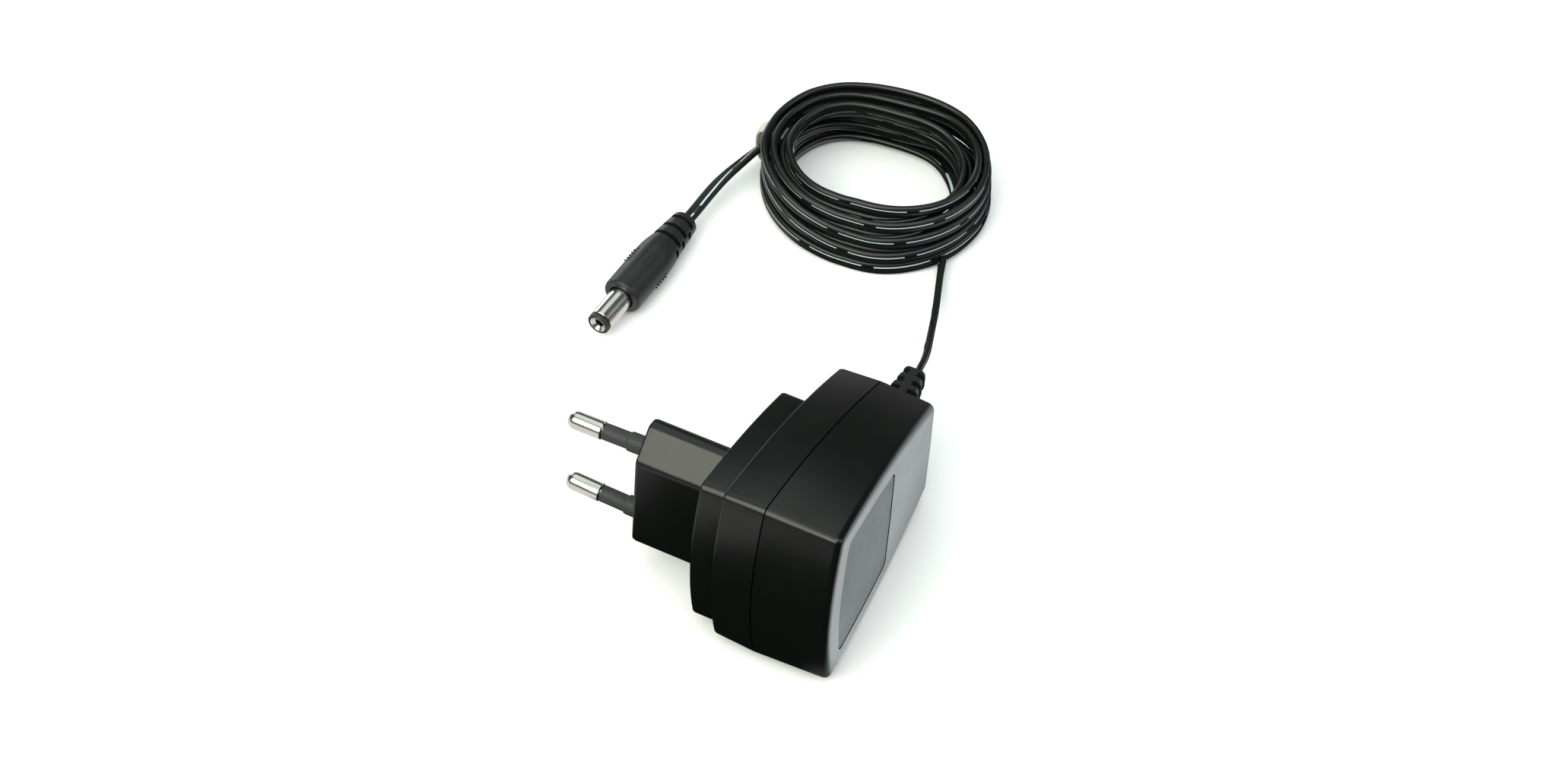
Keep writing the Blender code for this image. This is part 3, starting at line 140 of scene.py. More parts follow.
# Depth inside the outside and height of each turn at its near, right, far and left stations, in
# millimetres; the first part turn, which comes from the housing, starts at the right
FIRST = ((6.6, 1.3), (6.4, 1.6), (4.2, 1.6))
TURNS = (
    ((3.5, 1.6), (5.4, 2.4), (4.2, 1.6), (2.5, 1.6)),
    ((1.8, 1.6), (3.6, 3.2), (1.7, 1.6), (0.0, 3.0)),
    ((0.1, 1.6), (-0.3, 3.3), (2.2, 4.7), (2.2, 4.7)),
    ((1.9, 4.7), (1.7, 3.3), (4.3, 4.7), (3.9, 4.7)),
    ((3.6, 4.7), (3.7, 6.3), (6.2, 4.7), (4.3, 7.8)),
    ((5.3, 7.8), (5.5, 5.8), (7.0, 7.7), (2.6, 8.0)),
    ((3.8, 7.8), (3.9, 9.5), (7.5, 10.7), (4.5, 11.2)),
    ((6.0, 10.7), (5.3, 11.1), (8.4, 13.2), (6.0, 13.1)),
    ((6.5, 13.9), (2.2, 13.9), (4.0, 12.2), (2.5, 13.0)),
    ((3.9, 10.9), (0.3, 12.8), (0.8, 12.7), (0.2, 12.9)),
    ((2.0, 7.8), (-0.1, 9.6), (-0.6, 9.6), (0.4, 8.2)),
    ((0.2, 4.7), (-0.2, 6.4), (0.3, 6.5), (-0.3, 6.2)))
print("whole turns:", len(TURNS))

# %% [markdown]
# ## From the tables to one line
#
# The tables give only a few places for each turn. A curve object could pass through them, but
# the next steps need plain points to push about. So each turn is eased from one place to the
# next by a smooth step, which changes rows without a kink, and then the three stretches are
# joined and given points at one even spacing.


# %% Raw turns
def coil_points():
    """Centre points of all the turns, eased from each station's place to the next."""
    places = list(FIRST) + [place for turn in TURNS for place in turn]
    count = len(STATIONS)
    near_side = NEAR_ANGLE - FULL_TURN
    spots = [near_side + STATIONS[order % count] + FULL_TURN * (order // count)
             for order in range(1, len(places) + 1)]
    end = COIL_END + FULL_TURN * len(TURNS)
    steps = round(math.radians(end - COIL_START) * MEAN_RADIUS / STEP)
    angles = np.linspace(COIL_START, end, steps + 1)
    index = np.clip(np.searchsorted(spots, angles, side="right") - 1, 0, len(spots) - 2)
    before, after = np.take(spots, index), np.take(spots, index + 1)
    share = np.clip((angles - before) / (after - before), 0, 1)
    share = (share * share * (3 - 2 * share))[:, None]
    places = np.array(places)
    places = places[index] + (places[index + 1] - places[index]) * share
    way, reach = zip(*OUTSIDE)
    radius = (np.interp(angles, way, reach, period=FULL_TURN) - places[:, 0]) * MM
    turn = np.radians(angles)
    return np.stack([COIL_CENTRE.x + radius * np.cos(turn), COIL_CENTRE.y + radius * np.sin(turn),
                     places[:, 1] * MM], axis=1)


def distances(points):
    """How far along the lead each of its points lies."""
    steps = np.linalg.norm(np.diff(points, axis=0), axis=1)
    return np.concatenate([[0], np.cumsum(steps)])


def resample(points, spacing):
    """Points at an even spacing along the smooth curve through the given ones."""
    points = np.array([tuple(p) for p in points])
    knots = distances(points)
    slopes = np.gradient(points, knots, axis=0)
    fine = np.linspace(0, knots[-1], max(2, round(knots[-1] / spacing) + 1))
    spots = np.clip(np.searchsorted(knots, fine, side="right") - 1, 0, len(knots) - 2)
    width = (knots[spots + 1] - knots[spots])[:, None]
    t = ((fine - knots[spots]) / width[:, 0])[:, None]
    return ((2 * t**3 - 3 * t**2 + 1) * points[spots] + (t**3 - 2 * t**2 + t) * width * slopes[spots]
            + (3 * t**2 - 2 * t**3) * points[spots + 1] + (t**3 - t**2) * width * slopes[spots + 1])


stretches = [resample(LEAD_ROUTE, STEP), coil_points(), resample(TAIL_ROUTE, STEP)]
centre_line = resample(np.concatenate(stretches), STEP)
print("raw lead:", len(centre_line), "points")

# %% [markdown]
# ## How the lead stands
#
# A flat lead has a wide side, and the way that it faces changes along the lead. In the coil it
# stands upright, with one conductor over the other. Where it leaves the housing it is turned
# nearly upside down, and at the plug it lies flat. Two short tables of distances and angles
# hold that, because it is easier to read and to change than a twist stored in each point.

# %% Leans
# Distance from each end in metres, and the lean from upright in degrees
START_LEANS = ((0, 160), (0.012, 166), (0.025, 171), (0.042, 177), (0.060, 140), (0.080, 70), (0.120, 0))
END_LEANS = ((0, 88), (0.012, 85), (0.022, 60), (0.032, 25), (0.045, 10), (0.060, 0))


def directions(points):
    """Unit direction of the lead at each of its points."""
    along = np.gradient(points, axis=0)
    return along / np.linalg.norm(along, axis=1)[:, None]


def leans(points):
    """Angle of the wide side from upright at each point, in radians."""
    along = distances(points)
    start = np.interp(along, *zip(*START_LEANS))
    stop = np.interp(along[-1] - along, *zip(*END_LEANS))
    return np.radians(start + stop)


def wide_ways(points):
    """Unit direction across the wide side, from the plain conductor to the striped one."""
    along = directions(points)
    left = np.cross(np.array(UP), along)
    left /= np.linalg.norm(left, axis=1)[:, None]
    upright = np.cross(along, left)
    lean = leans(points)
    return upright * np.cos(lean)[:, None] + left * np.sin(lean)[:, None]


print("lean at the housing and at the plug:", START_LEANS[0][1], "and", END_LEANS[0][1], "degrees")

# %% [markdown]
# ## Settling the turns
#
# Turns placed by a table cut into each other a little. A physics simulation could drop them,
# but it would lose the order that the photograph shows. So wherever conductors of different
# turns come closer than their own thickness they are pushed apart, pass by pass, and nothing
# sinks into the ground. The pushes are smoothed along the lead, so that it bends softly and
# gets no kinks. The two ends are held where they are.

# %% Settle
SETTLE_PASSES = 90
SETTLE_GAP = 0.00160
FLOOR_GAP = 0.00005
TINY = 1e-9

# Counts of points along the lead: how far a push is smoothed, how near two points belong to one
# bend, how many are held at each end, and over how many the hold lets go
SMOOTH_REACH = 4
NEIGHBOURS = 5
HELD_START = 22
HELD_END = 8
HELD_EASE = 12.0


def blur(values, reach):
    """Weighted mean of each row with its neighbours along the lead."""
    offsets = np.arange(-2 * reach, 2 * reach + 1)
    weights = np.exp(-HALF * (offsets / reach) ** 2)
    weights /= weights.sum()
    padded = np.pad(values, ((2 * reach, 2 * reach), (0, 0)), mode="edge")
    return sum(w * padded[i:i + len(values)] for i, w in enumerate(weights))


def settle(points):
    """Push the conductors of different turns apart and keep them off the ground."""
    count = len(points)
    order = np.arange(count)
    near = np.abs(order[:, None] - order[None, :]) < NEIGHBOURS
    near = np.block([[near, near], [near, near]])
    free = np.clip(np.minimum(order - HELD_START, count - HELD_END - order) / HELD_EASE, 0, 1)[:, None]
    half_across = LEAD_THICKNESS * HALF
    across = wide_ways(points) * half_across
    lowest = half_across + FLOOR_GAP
    for _ in range(SETTLE_PASSES):
        strands = np.concatenate([points + across, points - across])
        gaps = strands[:, None, :] - strands[None, :, :]
        far = np.sqrt((gaps ** 2).sum(axis=2)) + TINY
        push = np.clip(SETTLE_GAP - far, 0, None)
        push[near] = 0
        moved = (gaps / far[:, :, None] * push[:, :, None]).sum(axis=1) * HALF
        moved[:, 2] += np.clip(lowest - strands[:, 2], 0, None)
        upper, lower = moved[:count], moved[count:]
        shift = (upper + lower) * HALF
        twist = (upper - lower) * HALF
        points = points + blur(shift, SMOOTH_REACH) * free
        across = across + blur(twist, SMOOTH_REACH) * free
        along = directions(points)
        across = across - along * (across * along).sum(axis=1)[:, None]
        across *= half_across / np.linalg.norm(across, axis=1)[:, None]
    print("still touching:", round(float(push.max()) / MM, 2), "mm at most")
    return points, across


settled, across = settle(centre_line)
print("settled lead:", round(float(distances(settled)[-1]), 3), "m")

# %% [markdown]
# ## A sweep for bands and leads
#
# A curve with a bevel object would carry a cross-section along a path, but it decides by itself
# how the section twists. This short routine extrudes one ring of edges again and again and puts
# each ring where it is told. It stores how far along the path and how far around the section
# each point lies, so that the material can print a broken stripe on one conductor.


# %% Sweep
def sweep(name, places, sections, closed=False, around=None):
    """A skin through the given rings of points, with caps where it isn't closed on itself."""
    work = bmesh.new()
    along_layer = work.verts.layers.float.new("along")
    around_layer = work.verts.layers.float.new("around")
    ring = [work.verts.new(p) for p in sections[0]]
    edges = [work.edges.new((a, b)) for a, b in zip(ring, ring[1:] + ring[:1])]
    start_edges = list(edges)
    distance = 0.0
    for index, section in enumerate(sections):
        if index:
            distance += (places[index] - places[index - 1]).length
            made = bmesh.ops.extrude_edge_only(work, edges=edges)["geom"]
            fresh = {v for v in made if isinstance(v, bmesh.types.BMVert)}
            ring = [next(e.other_vert(v) for e in v.link_edges if e.other_vert(v) in fresh) for v in ring]
            edges = [e for e in made if isinstance(e, bmesh.types.BMEdge) and set(e.verts) <= fresh]
        for spot, (vert, target) in enumerate(zip(ring, section)):
            vert.co = target
            vert[along_layer] = distance
            vert[around_layer] = around[spot] if around else 0.0
    if closed:
        bmesh.ops.bridge_loops(work, edges=start_edges + edges)
    else:
        bmesh.ops.holes_fill(work, edges=start_edges + edges)
    bmesh.ops.recalc_face_normals(work, faces=work.faces)
    for face in work.faces:
        face.smooth = len(face.verts) == 4
    return finished(name, work)


def finished(name, work):
    """Turn a bmesh into an object that rides with the adapter."""
    mesh = bpy.data.meshes.new(name)
    work.to_mesh(mesh)
    work.free()
    piece = bpy.data.objects.new(name, mesh)
    bpy.context.collection.objects.link(piece)
    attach(piece, "root")
    print(name, "has", len(mesh.polygons), "faces")
    return piece


# %% [markdown]
# ## The twin lead
#
# The two conductors are moulded in one and meet at a narrow waist. Two round tubes side by side
# would cut into each other, so the section is one line round two circles, open at the waist. The
# stripe lies on the side of one conductor, a little towards the waist. Each point of the section
# keeps its signed distance from the stripe, so the print follows the surface.

# %% Lead
SECTION_SIDES = 20
RING_SPACING = 0.0013
WAIST = math.radians(38)
STRIPE_LIFT = math.radians(-25)


def lead_section():
    """Across and outward offsets round the twin section, with the distance of each from the stripe."""
    radius = LEAD_THICKNESS * HALF
    points = []
    half_sides = SECTION_SIDES // 2
    for strand in (1, -1):
        for index in range(half_sides):
            turn = WAIST + (math.tau - 2 * WAIST) * index / (half_sides - 1)
            points.append((strand * (radius - radius * math.cos(turn)), strand * radius * math.sin(turn)))
    aim = (radius + radius * math.sin(STRIPE_LIFT), radius * math.cos(STRIPE_LIFT))
    nearest = min(range(len(points)), key=lambda i: math.dist(points[i], aim))
    count = len(points)
    steps = [math.dist(points[i], points[(i + 1) % count]) for i in range(count)]
    ahead = [sum(steps[(nearest + k) % count] for k in range((i - nearest) % count)) for i in range(count)]
    whole = sum(steps)
    return points, [a if a < whole - a else a - whole for a in ahead]


def add_lead():
    """The whole lead, one ring of the section at each point of the settled line."""
    section, around = lead_section()
    line = resample(settled, RING_SPACING)
    knots = distances(settled)
    fine = np.linspace(0, knots[-1], len(line))
    wide = np.stack([np.interp(fine, knots, across[:, k]) for k in range(3)], axis=1)
    wide /= np.linalg.norm(wide, axis=1)[:, None]
    outward = np.cross(directions(line), wide)
    outward /= np.linalg.norm(outward, axis=1)[:, None]
    rings = [[Vector(p + w * a + o * b) for a, b in section] for p, w, o in zip(line, wide, outward)]
    return sweep("lead", [Vector(p) for p in line], rings, around=around), line


lead, line = add_lead()

# %% [markdown]
# ## The tie
#
# A soft pale band holds the lower turns together. The last turns were laid over it, so from
# above only its outer bend shows, beside the place where the tail leaves the coil. A torus
# would be too round for it. The band follows a squared loop, which is a circle whose sine and
# cosine are raised to a power below one, and its flat section is filled out in the same way.

# %% Tie
TIE_ANGLE = math.radians(181)
TIE_WIDTH = 0.0036
TIE_THICKNESS = 0.0009
TIE_INNER, TIE_OUTER = 0.0230, 0.0309
TIE_LOW, TIE_HIGH = 0.0005, 0.0110
TIE_SQUARE = 0.65
BAND_SQUARE = 0.5
TIE_RINGS = 64
BAND_SIDES = 16


def squared(value, power):
    """A sine or cosine pushed outwards, with its sign kept."""
    return math.copysign(abs(value) ** power, value)


def add_tie():
    """A squared loop round the lower turns, with a rounded band section."""
    way = Vector((math.cos(TIE_ANGLE), math.sin(TIE_ANGLE), 0))
    side = Vector((-math.sin(TIE_ANGLE), math.cos(TIE_ANGLE), 0))
    reach = (TIE_OUTER - TIE_INNER) * HALF
    rise = (TIE_HIGH - TIE_LOW) * HALF
    places, rings = [], []
    for index in range(TIE_RINGS):
        turn = math.tau * index / TIE_RINGS
        middle = COIL_CENTRE + way * (TIE_INNER + reach + reach * squared(math.cos(turn), TIE_SQUARE))
        middle.z = TIE_LOW + rise + rise * squared(math.sin(turn), TIE_SQUARE)
        out = way * math.cos(turn) + UP * math.sin(turn)
        ring = []
        for spot in range(BAND_SIDES):
            corner = math.tau * spot / BAND_SIDES
            flat = squared(math.cos(corner), BAND_SQUARE) * TIE_WIDTH * HALF
            ring.append(middle + side * flat + out * TIE_THICKNESS * HALF * math.sin(corner))
        places.append(middle)
        rings.append(ring)
    return sweep("tie_band", places, rings, closed=True)


tie = add_tie()

# %% [markdown]
# ## Material helpers
#
# Every material here is a small tree of nodes. It could be drawn in the shader editor, but a
# script keeps the recipes side by side. A few helpers keep them short: they make an empty
# material, add a node and set it up, join two sockets, carry a value to another range, lay noise
# on the object and end the tree. The textures read the object's own coordinates, so a pattern
# stays with its piece.


# %% Material helpers
def new_material(name):
    """A node material with nothing in it yet."""
    material = bpy.data.materials.new(name)
    material.use_nodes = True
    material.node_tree.nodes.clear()
    return material


def node(material, kind, **settings):
    """Add a node, with named attributes set on it and its inputs set by name."""
    made = material.node_tree.nodes.new(kind)
    for key, value in settings.items():
        if hasattr(made, key):
            setattr(made, key, value)
        else:
            made.inputs[key.replace("_", " ")].default_value = value
    return made


def link(material, source, out, target, into):
    """Join one output of a node to one input of another."""
    material.node_tree.links.new(source.outputs[out], target.inputs[into])


def scaled(material, source, out, **limits):
    """The source's value carried from one range to another."""
    made = node(material, "ShaderNodeMapRange", **limits)
    link(material, source, out, made, "Value")
    return made


def noise(material, scale, detail, rough=0.5):
    """Noise that sits still on the object."""
    place = node(material, "ShaderNodeTexCoord")
    made = node(material, "ShaderNodeTexNoise", Scale=scale, Detail=detail, Roughness=rough)
    link(material, place, "Object", made, "Vector")
    return made


def finish_with(material, shader, out):
    """Send a shader to the material's output."""
    end = node(material, "ShaderNodeOutputMaterial")
    link(material, shader, out, end, "Surface")
    return material


# %% [markdown]
# ## Moulded plastic
#
# The housing, the plug and the strain relief are near-black satin mouldings. A plain dark
# shader would look like paint. A mould leaves a fine spark texture, the walls sink by a hair
# where they cooled unevenly, and the gloss varies a little with that. So one slow noise drives
# the tint, the gloss and the waves, and one fine noise gives the spark texture.

# %% Moulded plastic
PLASTIC_IOR = 1.5
UNEVEN_SCALE = 90
WAVE_DEPTH = 0.0008
SPARK_DEPTH = 0.00006
GLOSS_BELOW, GLOSS_ABOVE = 0.05, 0.06


def moulded(name, colour, rough, grain_scale=2600, grain=0.12, wave=0.03, mottle=0.12, level=0.5):
    """Moulded plastic: a fine spark texture, slow unevenness and slightly varied gloss."""
    material = new_material(name)
    fine = noise(material, grain_scale, detail=3.0, rough=0.6)
    slow = noise(material, UNEVEN_SCALE, detail=3.0, rough=0.55)
    tint = node(material, "ShaderNodeMixRGB", Color1=(*[c * (1 - mottle) for c in colour], 1),
                Color2=(*[c * (1 + mottle) for c in colour], 1))
    link(material, slow, "Fac", tint, "Fac")
    gloss = scaled(material, slow, "Fac", To_Min=rough - GLOSS_BELOW, To_Max=rough + GLOSS_ABOVE)
    waves = node(material, "ShaderNodeBump", Strength=wave, Distance=WAVE_DEPTH)
    link(material, slow, "Fac", waves, "Height")
    spark = node(material, "ShaderNodeBump", Strength=grain, Distance=SPARK_DEPTH)
    link(material, fine, "Fac", spark, "Height")
    link(material, waves, "Normal", spark, "Normal")
    skin = node(material, "ShaderNodeBsdfPrincipled", IOR=PLASTIC_IOR, Specular_IOR_Level=level)
    link(material, tint, "Color", skin, "Base Color")
    link(material, gloss, "Result", skin, "Roughness")
    link(material, spark, "Normal", skin, "Normal")
    return finish_with(material, skin, "BSDF")


# %% [markdown]
# ## Plated metal
#
# The pins and the barrel are bright nickel, and the contacts inside are rolled brass. A metal
# shows nothing but reflections, tinted by its own colour, so most of the look comes from what
# lies around it. An even polish would look like a mirror ball, so faint marks and a slowly
# varying polish break it up.

# %% Plated metal
MARK_SCALE = 900
POLISH_SCALE = 160
MARK_STRENGTH = 0.05
MARK_DEPTH = 0.00004
POLISH_BELOW, POLISH_ABOVE = 0.03, 0.06
DULLER = 0.95


def metal(name, colour, rough):
    """Plated or rolled metal with faint marks."""
    material = new_material(name)
    marks = noise(material, MARK_SCALE, detail=4.0, rough=0.6)
    slow = noise(material, POLISH_SCALE, detail=2.0)
    polish = scaled(material, slow, "Fac", To_Min=rough - POLISH_BELOW, To_Max=rough + POLISH_ABOVE)
    bump = node(material, "ShaderNodeBump", Strength=MARK_STRENGTH, Distance=MARK_DEPTH)
    link(material, marks, "Fac", bump, "Height")
    tint = node(material, "ShaderNodeMixRGB", Color1=(*[c * DULLER for c in colour], 1),
                Color2=(*colour, 1))
    link(material, slow, "Fac", tint, "Fac")
    skin = node(material, "ShaderNodeBsdfPrincipled", Metallic=1.0)
    link(material, tint, "Color", skin, "Base Color")
    link(material, polish, "Result", skin, "Roughness")
    link(material, bump, "Normal", skin, "Normal")
    return finish_with(material, skin, "BSDF")


# %% [markdown]
# ## The printed stripe
#
# One conductor carries a broken pale stripe, printed as fine slanted hatching, so that the two
# can be told apart. A picture of it would have to be unwrapped. Here the two distances stored
# in the sweep are enough: a band round zero on one axis, long dashes on the other, and a fine
# sine wave across both for the hatching.

# %% Lead material
STRIPE_HALF = 0.00031
STRIPE_PITCH = 0.0154
STRIPE_SHARE = 0.82
HATCH_PITCH = 0.00040
HATCH_DEPTH = 0.45


def reckon(material, operation, first, second):
    """One sum on two values, each an output of a node or a plain number."""
    made = node(material, "ShaderNodeMath", operation=operation)
    for spot, value in enumerate((first, second)):
        if isinstance(value, (int, float)):
            made.inputs[spot].default_value = value
        else:
            material.node_tree.links.new(value, made.inputs[spot])
    return made.outputs["Value"]


def stripe_ink(material):
    """How much of the stripe's ink lies at each point of the lead."""
    along = node(material, "ShaderNodeAttribute", attribute_name="along").outputs["Fac"]
    around = node(material, "ShaderNodeAttribute", attribute_name="around").outputs["Fac"]
    inside = node(material, "ShaderNodeMath", operation="COMPARE")
    inside.inputs[1].default_value = 0.0
    inside.inputs[2].default_value = STRIPE_HALF
    material.node_tree.links.new(around, inside.inputs[0])
    phase = reckon(material, "MULTIPLY", reckon(material, "ADD", along, around), math.tau / HATCH_PITCH)
    ripple = node(material, "ShaderNodeMath", operation="SINE")
    material.node_tree.links.new(phase, ripple.inputs[0])
    hatch = scaled(material, ripple, "Value", From_Min=-1.0, To_Min=1.0 - HATCH_DEPTH)
    part = node(material, "ShaderNodeMath", operation="FRACT")
    material.node_tree.links.new(reckon(material, "DIVIDE", along, STRIPE_PITCH), part.inputs[0])
    dash = reckon(material, "LESS_THAN", part.outputs["Value"], STRIPE_SHARE)
    both = reckon(material, "MULTIPLY", inside.outputs["Value"], dash)
    return reckon(material, "MULTIPLY", both, hatch.outputs["Result"])


def striped(name, colour, stripe, rough):
    """Soft black lead with a broken pale stripe printed along one conductor."""
    material = moulded(name, colour, rough, grain_scale=1800, grain=0.10, wave=0.02)
    skin = next(n for n in material.node_tree.nodes if n.type == "BSDF_PRINCIPLED")
    tint = skin.inputs["Base Color"].links[0].from_node
    printed = node(material, "ShaderNodeMixRGB", Color2=(*stripe, 1))
    link(material, tint, "Color", printed, "Color1")
    material.node_tree.links.new(stripe_ink(material), printed.inputs["Fac"])
    link(material, printed, "Color", skin, "Base Color")
    return material


# %% [markdown]
# ## The finishes
#
# Each slot of the record gets one finish. Apart from the nickel and the pale tie, the outside is
# all in near-blacks, and only their gloss tells them apart: a satin housing, a duller film, a
# matt sleeve and a soft grip. One black for all of them would be simpler, but the pieces would
# run together. The parts of the circuit are hidden, but they are dressed in their usual colours
# too, for anyone who opens the housing.

# %% Finishes of the outside
surfaces = {
    "housing": moulded("housing", (0.0022, 0.0028, 0.0025), 0.29),
    "label": moulded("label", (0.004, 0.005, 0.005), 0.42, grain_scale=4000, grain=0.05, level=0.30),
    "nickel": metal("nickel", (0.74, 0.72, 0.68), 0.20),
    "sleeve": moulded("sleeve", (0.024, 0.028, 0.026), 0.55, grain=0.25),
    "cord": moulded("cord", (0.010, 0.0125, 0.012), 0.42, grain=0.2),
    "tie": moulded("tie", (0.45, 0.44, 0.385), 0.5, grain_scale=1500),
}
lead_surface = striped("lead_surface", (0.0050, 0.0066, 0.0058), (0.58, 0.70, 0.76), 0.30)
print("finishes outside:", len(surfaces) + 1)

# %% Finishes of the inside
surfaces.update({
    "contact_brass": metal("contact_brass", (0.72, 0.52, 0.25), 0.25),
    "board": moulded("board", (0.03, 0.16, 0.06), 0.35, mottle=0.25),
    "can": moulded("can", (0.03, 0.05, 0.12), 0.28),
    "package": moulded("package", (0.02, 0.02, 0.02), 0.5),
    "fuse": moulded("fuse", (0.35, 0.38, 0.36), 0.45),
    "ferrite": moulded("ferrite", (0.06, 0.06, 0.065), 0.6, grain=0.3),
    "tape": moulded("tape", (0.75, 0.55, 0.06), 0.3),
    "disc_blue": moulded("disc_blue", (0.05, 0.18, 0.45), 0.3),
    "disc_brown": moulded("disc_brown", (0.45, 0.22, 0.06), 0.35),
    "wire_red": moulded("wire_red", (0.5, 0.03, 0.02), 0.4),
    "wire_black": moulded("wire_black", (0.02, 0.02, 0.02), 0.4),
})
print("finishes in all:", len(surfaces) + 1)

# %% [markdown]
# ## Dressing the pieces
#
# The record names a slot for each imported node, such as nickel for a pin. The nodes could be
# dressed one by one, but reading the slots keeps the record and the picture in step. The two
# pieces added so far say their own slots.


# %% Dress the nodes and the lead
def dress(piece, material):
    """Give a piece one material and no other."""
    piece.data.materials.clear()
    piece.data.materials.append(material)


slots = {part["node"]: part["material_slot"] for part in frame["record"]["subparts"]}
for name, slot_name in slots.items():
    dress(bpy.data.objects[name], surfaces[slot_name])
dress(lead, lead_surface)
dress(tie, surfaces["tie"])
print("dressed", len(slots), "nodes")

# %% [markdown]
# ## Smooth copies
#
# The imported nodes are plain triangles, and their facets show on large round corners. Smooth
# shading alone would bend the light over the flat walls as well, because a plain average gives
# a narrow strip of a rounding as much say as the wall beside it. So each copy has its points
# joined, its sharp edges kept, and normals in which a flat patch counts by its whole area.
# That keeps walls flat and roundings crisp.

# %% Normals for flat walls and roundings
SHARP = math.radians(28)
FLAT = math.radians(0.7)
MERGE_WITHIN = 1e-6


def flat_areas(work):
    """For each face, the area of the flat patch that it belongs to."""
    areas = [0.0] * len(work.faces)
    seen = set()
    for first in work.faces:
        if first.index in seen:
            continue
        seen.add(first.index)
        patch = [first]
        for face in patch:
            for edge in face.edges:
                for other in edge.link_faces:
                    if other.index not in seen and other.normal.angle(first.normal, 0) < FLAT:
                        seen.add(other.index)
                        patch.append(other)
        whole = sum(face.calc_area() for face in patch)
        for face in patch:
            areas[face.index] = whole
    return areas


def corner_normals(work):
    """A normal for each corner, in which large flat patches outweigh the narrow strips beside them."""
    areas = flat_areas(work)
    normals = []
    for face in work.faces:
        for corner in face.loops:
            fan = [face]
            for member in fan:
                for edge in corner.vert.link_edges:
                    if edge.smooth and member in edge.link_faces:
                        fan.extend(other for other in edge.link_faces if other not in fan)
            mixed = sum((member.normal * areas[member.index] for member in fan), Vector())
            normals.append(mixed.normalized() if mixed.length else face.normal.copy())
    return normals


# %% Smooth copies
ROUND_NODES = ("front_shell", "back_shell", "label_film", "line_pin", "neutral_pin",
               "line_pin_sleeve", "neutral_pin_sleeve", "strain_relief", "plug_body",
               "plug_barrel", "plug_insulator", "plug_socket")


def smooth_copy(name):
    """A joined and smoothly shaded copy that stands for the node."""
    work = bmesh.new()
    work.from_mesh(bpy.data.objects[name].data)
    bmesh.ops.remove_doubles(work, verts=work.verts, dist=MERGE_WITHIN)
    for face in work.faces:
        face.smooth = True
    for edge in work.edges:
        edge.smooth = len(edge.link_faces) == 2 and edge.calc_face_angle(0) < SHARP
    work.faces.index_update()
    work.normal_update()
    normals = corner_normals(work)
    piece = finished(name + "_skin", work)
    piece.data.normals_split_custom_set(normals)
    dress(piece, surfaces[slots[name]])
    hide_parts(name)
    return piece


skins = {name: smooth_copy(name) for name in ROUND_NODES}
print("smooth copies:", len(skins))

# %% [markdown]
# ## Grip dots
#
# Short lines of very small domes stand on the plug's grip, in groups, for the fingers. The grip
# is slightly tapered, so a fixed radius would bury some of them. A ray towards the plug's middle
# line finds the skin under each dome instead, and the dome sinks half-way into it.

# %% Grip dots
PLUG_TIP = Vector((-0.0534, 0.0250, 0.0047))
PLUG_HEADING = math.radians(86.1)
BARREL_LENGTH = 0.0095
DOT_LINES = (-56, -36, -7, 11, 29, 48, 96, 112)
DOTS_IN_LINE = 5
DOT_START = 0.0079
DOT_PITCH = 0.0009
DOT_RADIUS = 0.00028
DOT_SIDES, DOT_LEVELS = 8, 6


def grip_skin():
    """The surface of the plug's grip, ready for rays."""
    work = bmesh.new()
    work.from_mesh(skins["plug_body"].data)
    tree = BVHTree.FromBMesh(work)
    work.free()
    return tree


def add_dots():
    """Small domes on the skin of the grip, in lines along the plug."""
    heading = Vector((math.cos(PLUG_HEADING), math.sin(PLUG_HEADING), 0))
    side = heading.cross(UP)
    skin = grip_skin()
    work = bmesh.new()
    for degrees in DOT_LINES:
        turn = math.radians(degrees)
        out = UP * math.cos(turn) + side * math.sin(turn)
        turned = out.to_track_quat("Z", "Y").to_matrix().to_4x4()
        for index in range(DOTS_IN_LINE):
            middle = PLUG_TIP + heading * (BARREL_LENGTH + DOT_START + DOT_PITCH * index)
            spot = skin.ray_cast(middle + out * BARREL_LENGTH, -out)[0]
            bmesh.ops.create_uvsphere(work, u_segments=DOT_SIDES, v_segments=DOT_LEVELS, radius=DOT_RADIUS,
                                      matrix=Matrix.Translation(spot) @ turned)
    for face in work.faces:
        face.smooth = True
    piece = finished("grip_dots", work)
    dress(piece, surfaces["cord"])
    return piece


dots = add_dots()

# %% [markdown]
# ## The floor
#
# The object lies on a plain white floor that runs out of view and keeps its shadow. Black
# plastic shows little apart from its reflections, and the photograph has black near walls but a
# grey label side and bright pins. On a table that is done with cards. Here the reflections are
# painted into the floor instead, for reflected rays only: a painted dark reflection in a strip
# beside the near walls, and glowing painted reflections to the right of the label side and to
# the left of the pins.

# %% Floor
FLOOR_SIZE = 3.0
FLOOR_WHITE = (0.92, 0.92, 0.92, 1)
# Painted reflections: colours and glows that the floor shows to reflected rays only
PAINTED_DARK_REFLECTION = (0.012, 0.013, 0.013, 1)
LABEL_REFLECTION_GLOW = (0.92, 1.0, 1.0, 1)
LABEL_REFLECTION_STRENGTH = 1.7
PINS_REFLECTION_GLOW = (1.0, 0.99, 0.97, 1)
PINS_REFLECTION_STRENGTH = 0.9

# Where the painted reflection beside the label side starts along X and along Y, and where the one beside
# the pins starts along X
LABEL_REFLECTION_EDGE = (0.027, 0.035)
LABEL_REFLECTION_START = (-0.040, -0.028)
PINS_REFLECTION_EDGE = (-0.028, -0.034)


def edge_fade(material, split, axis, edge):
    """Nothing before the edge and everything after it, along one axis."""
    return scaled(material, split, axis, From_Min=edge[0], From_Max=edge[1]).outputs["Result"]


def laid_over(material, share, under, over):
    """One shader laid over another by a share."""
    made = node(material, "ShaderNodeMixShader")
    for spot, source in enumerate((share, under, over)):
        material.node_tree.links.new(source, made.inputs[spot])
    return made.outputs["Shader"]


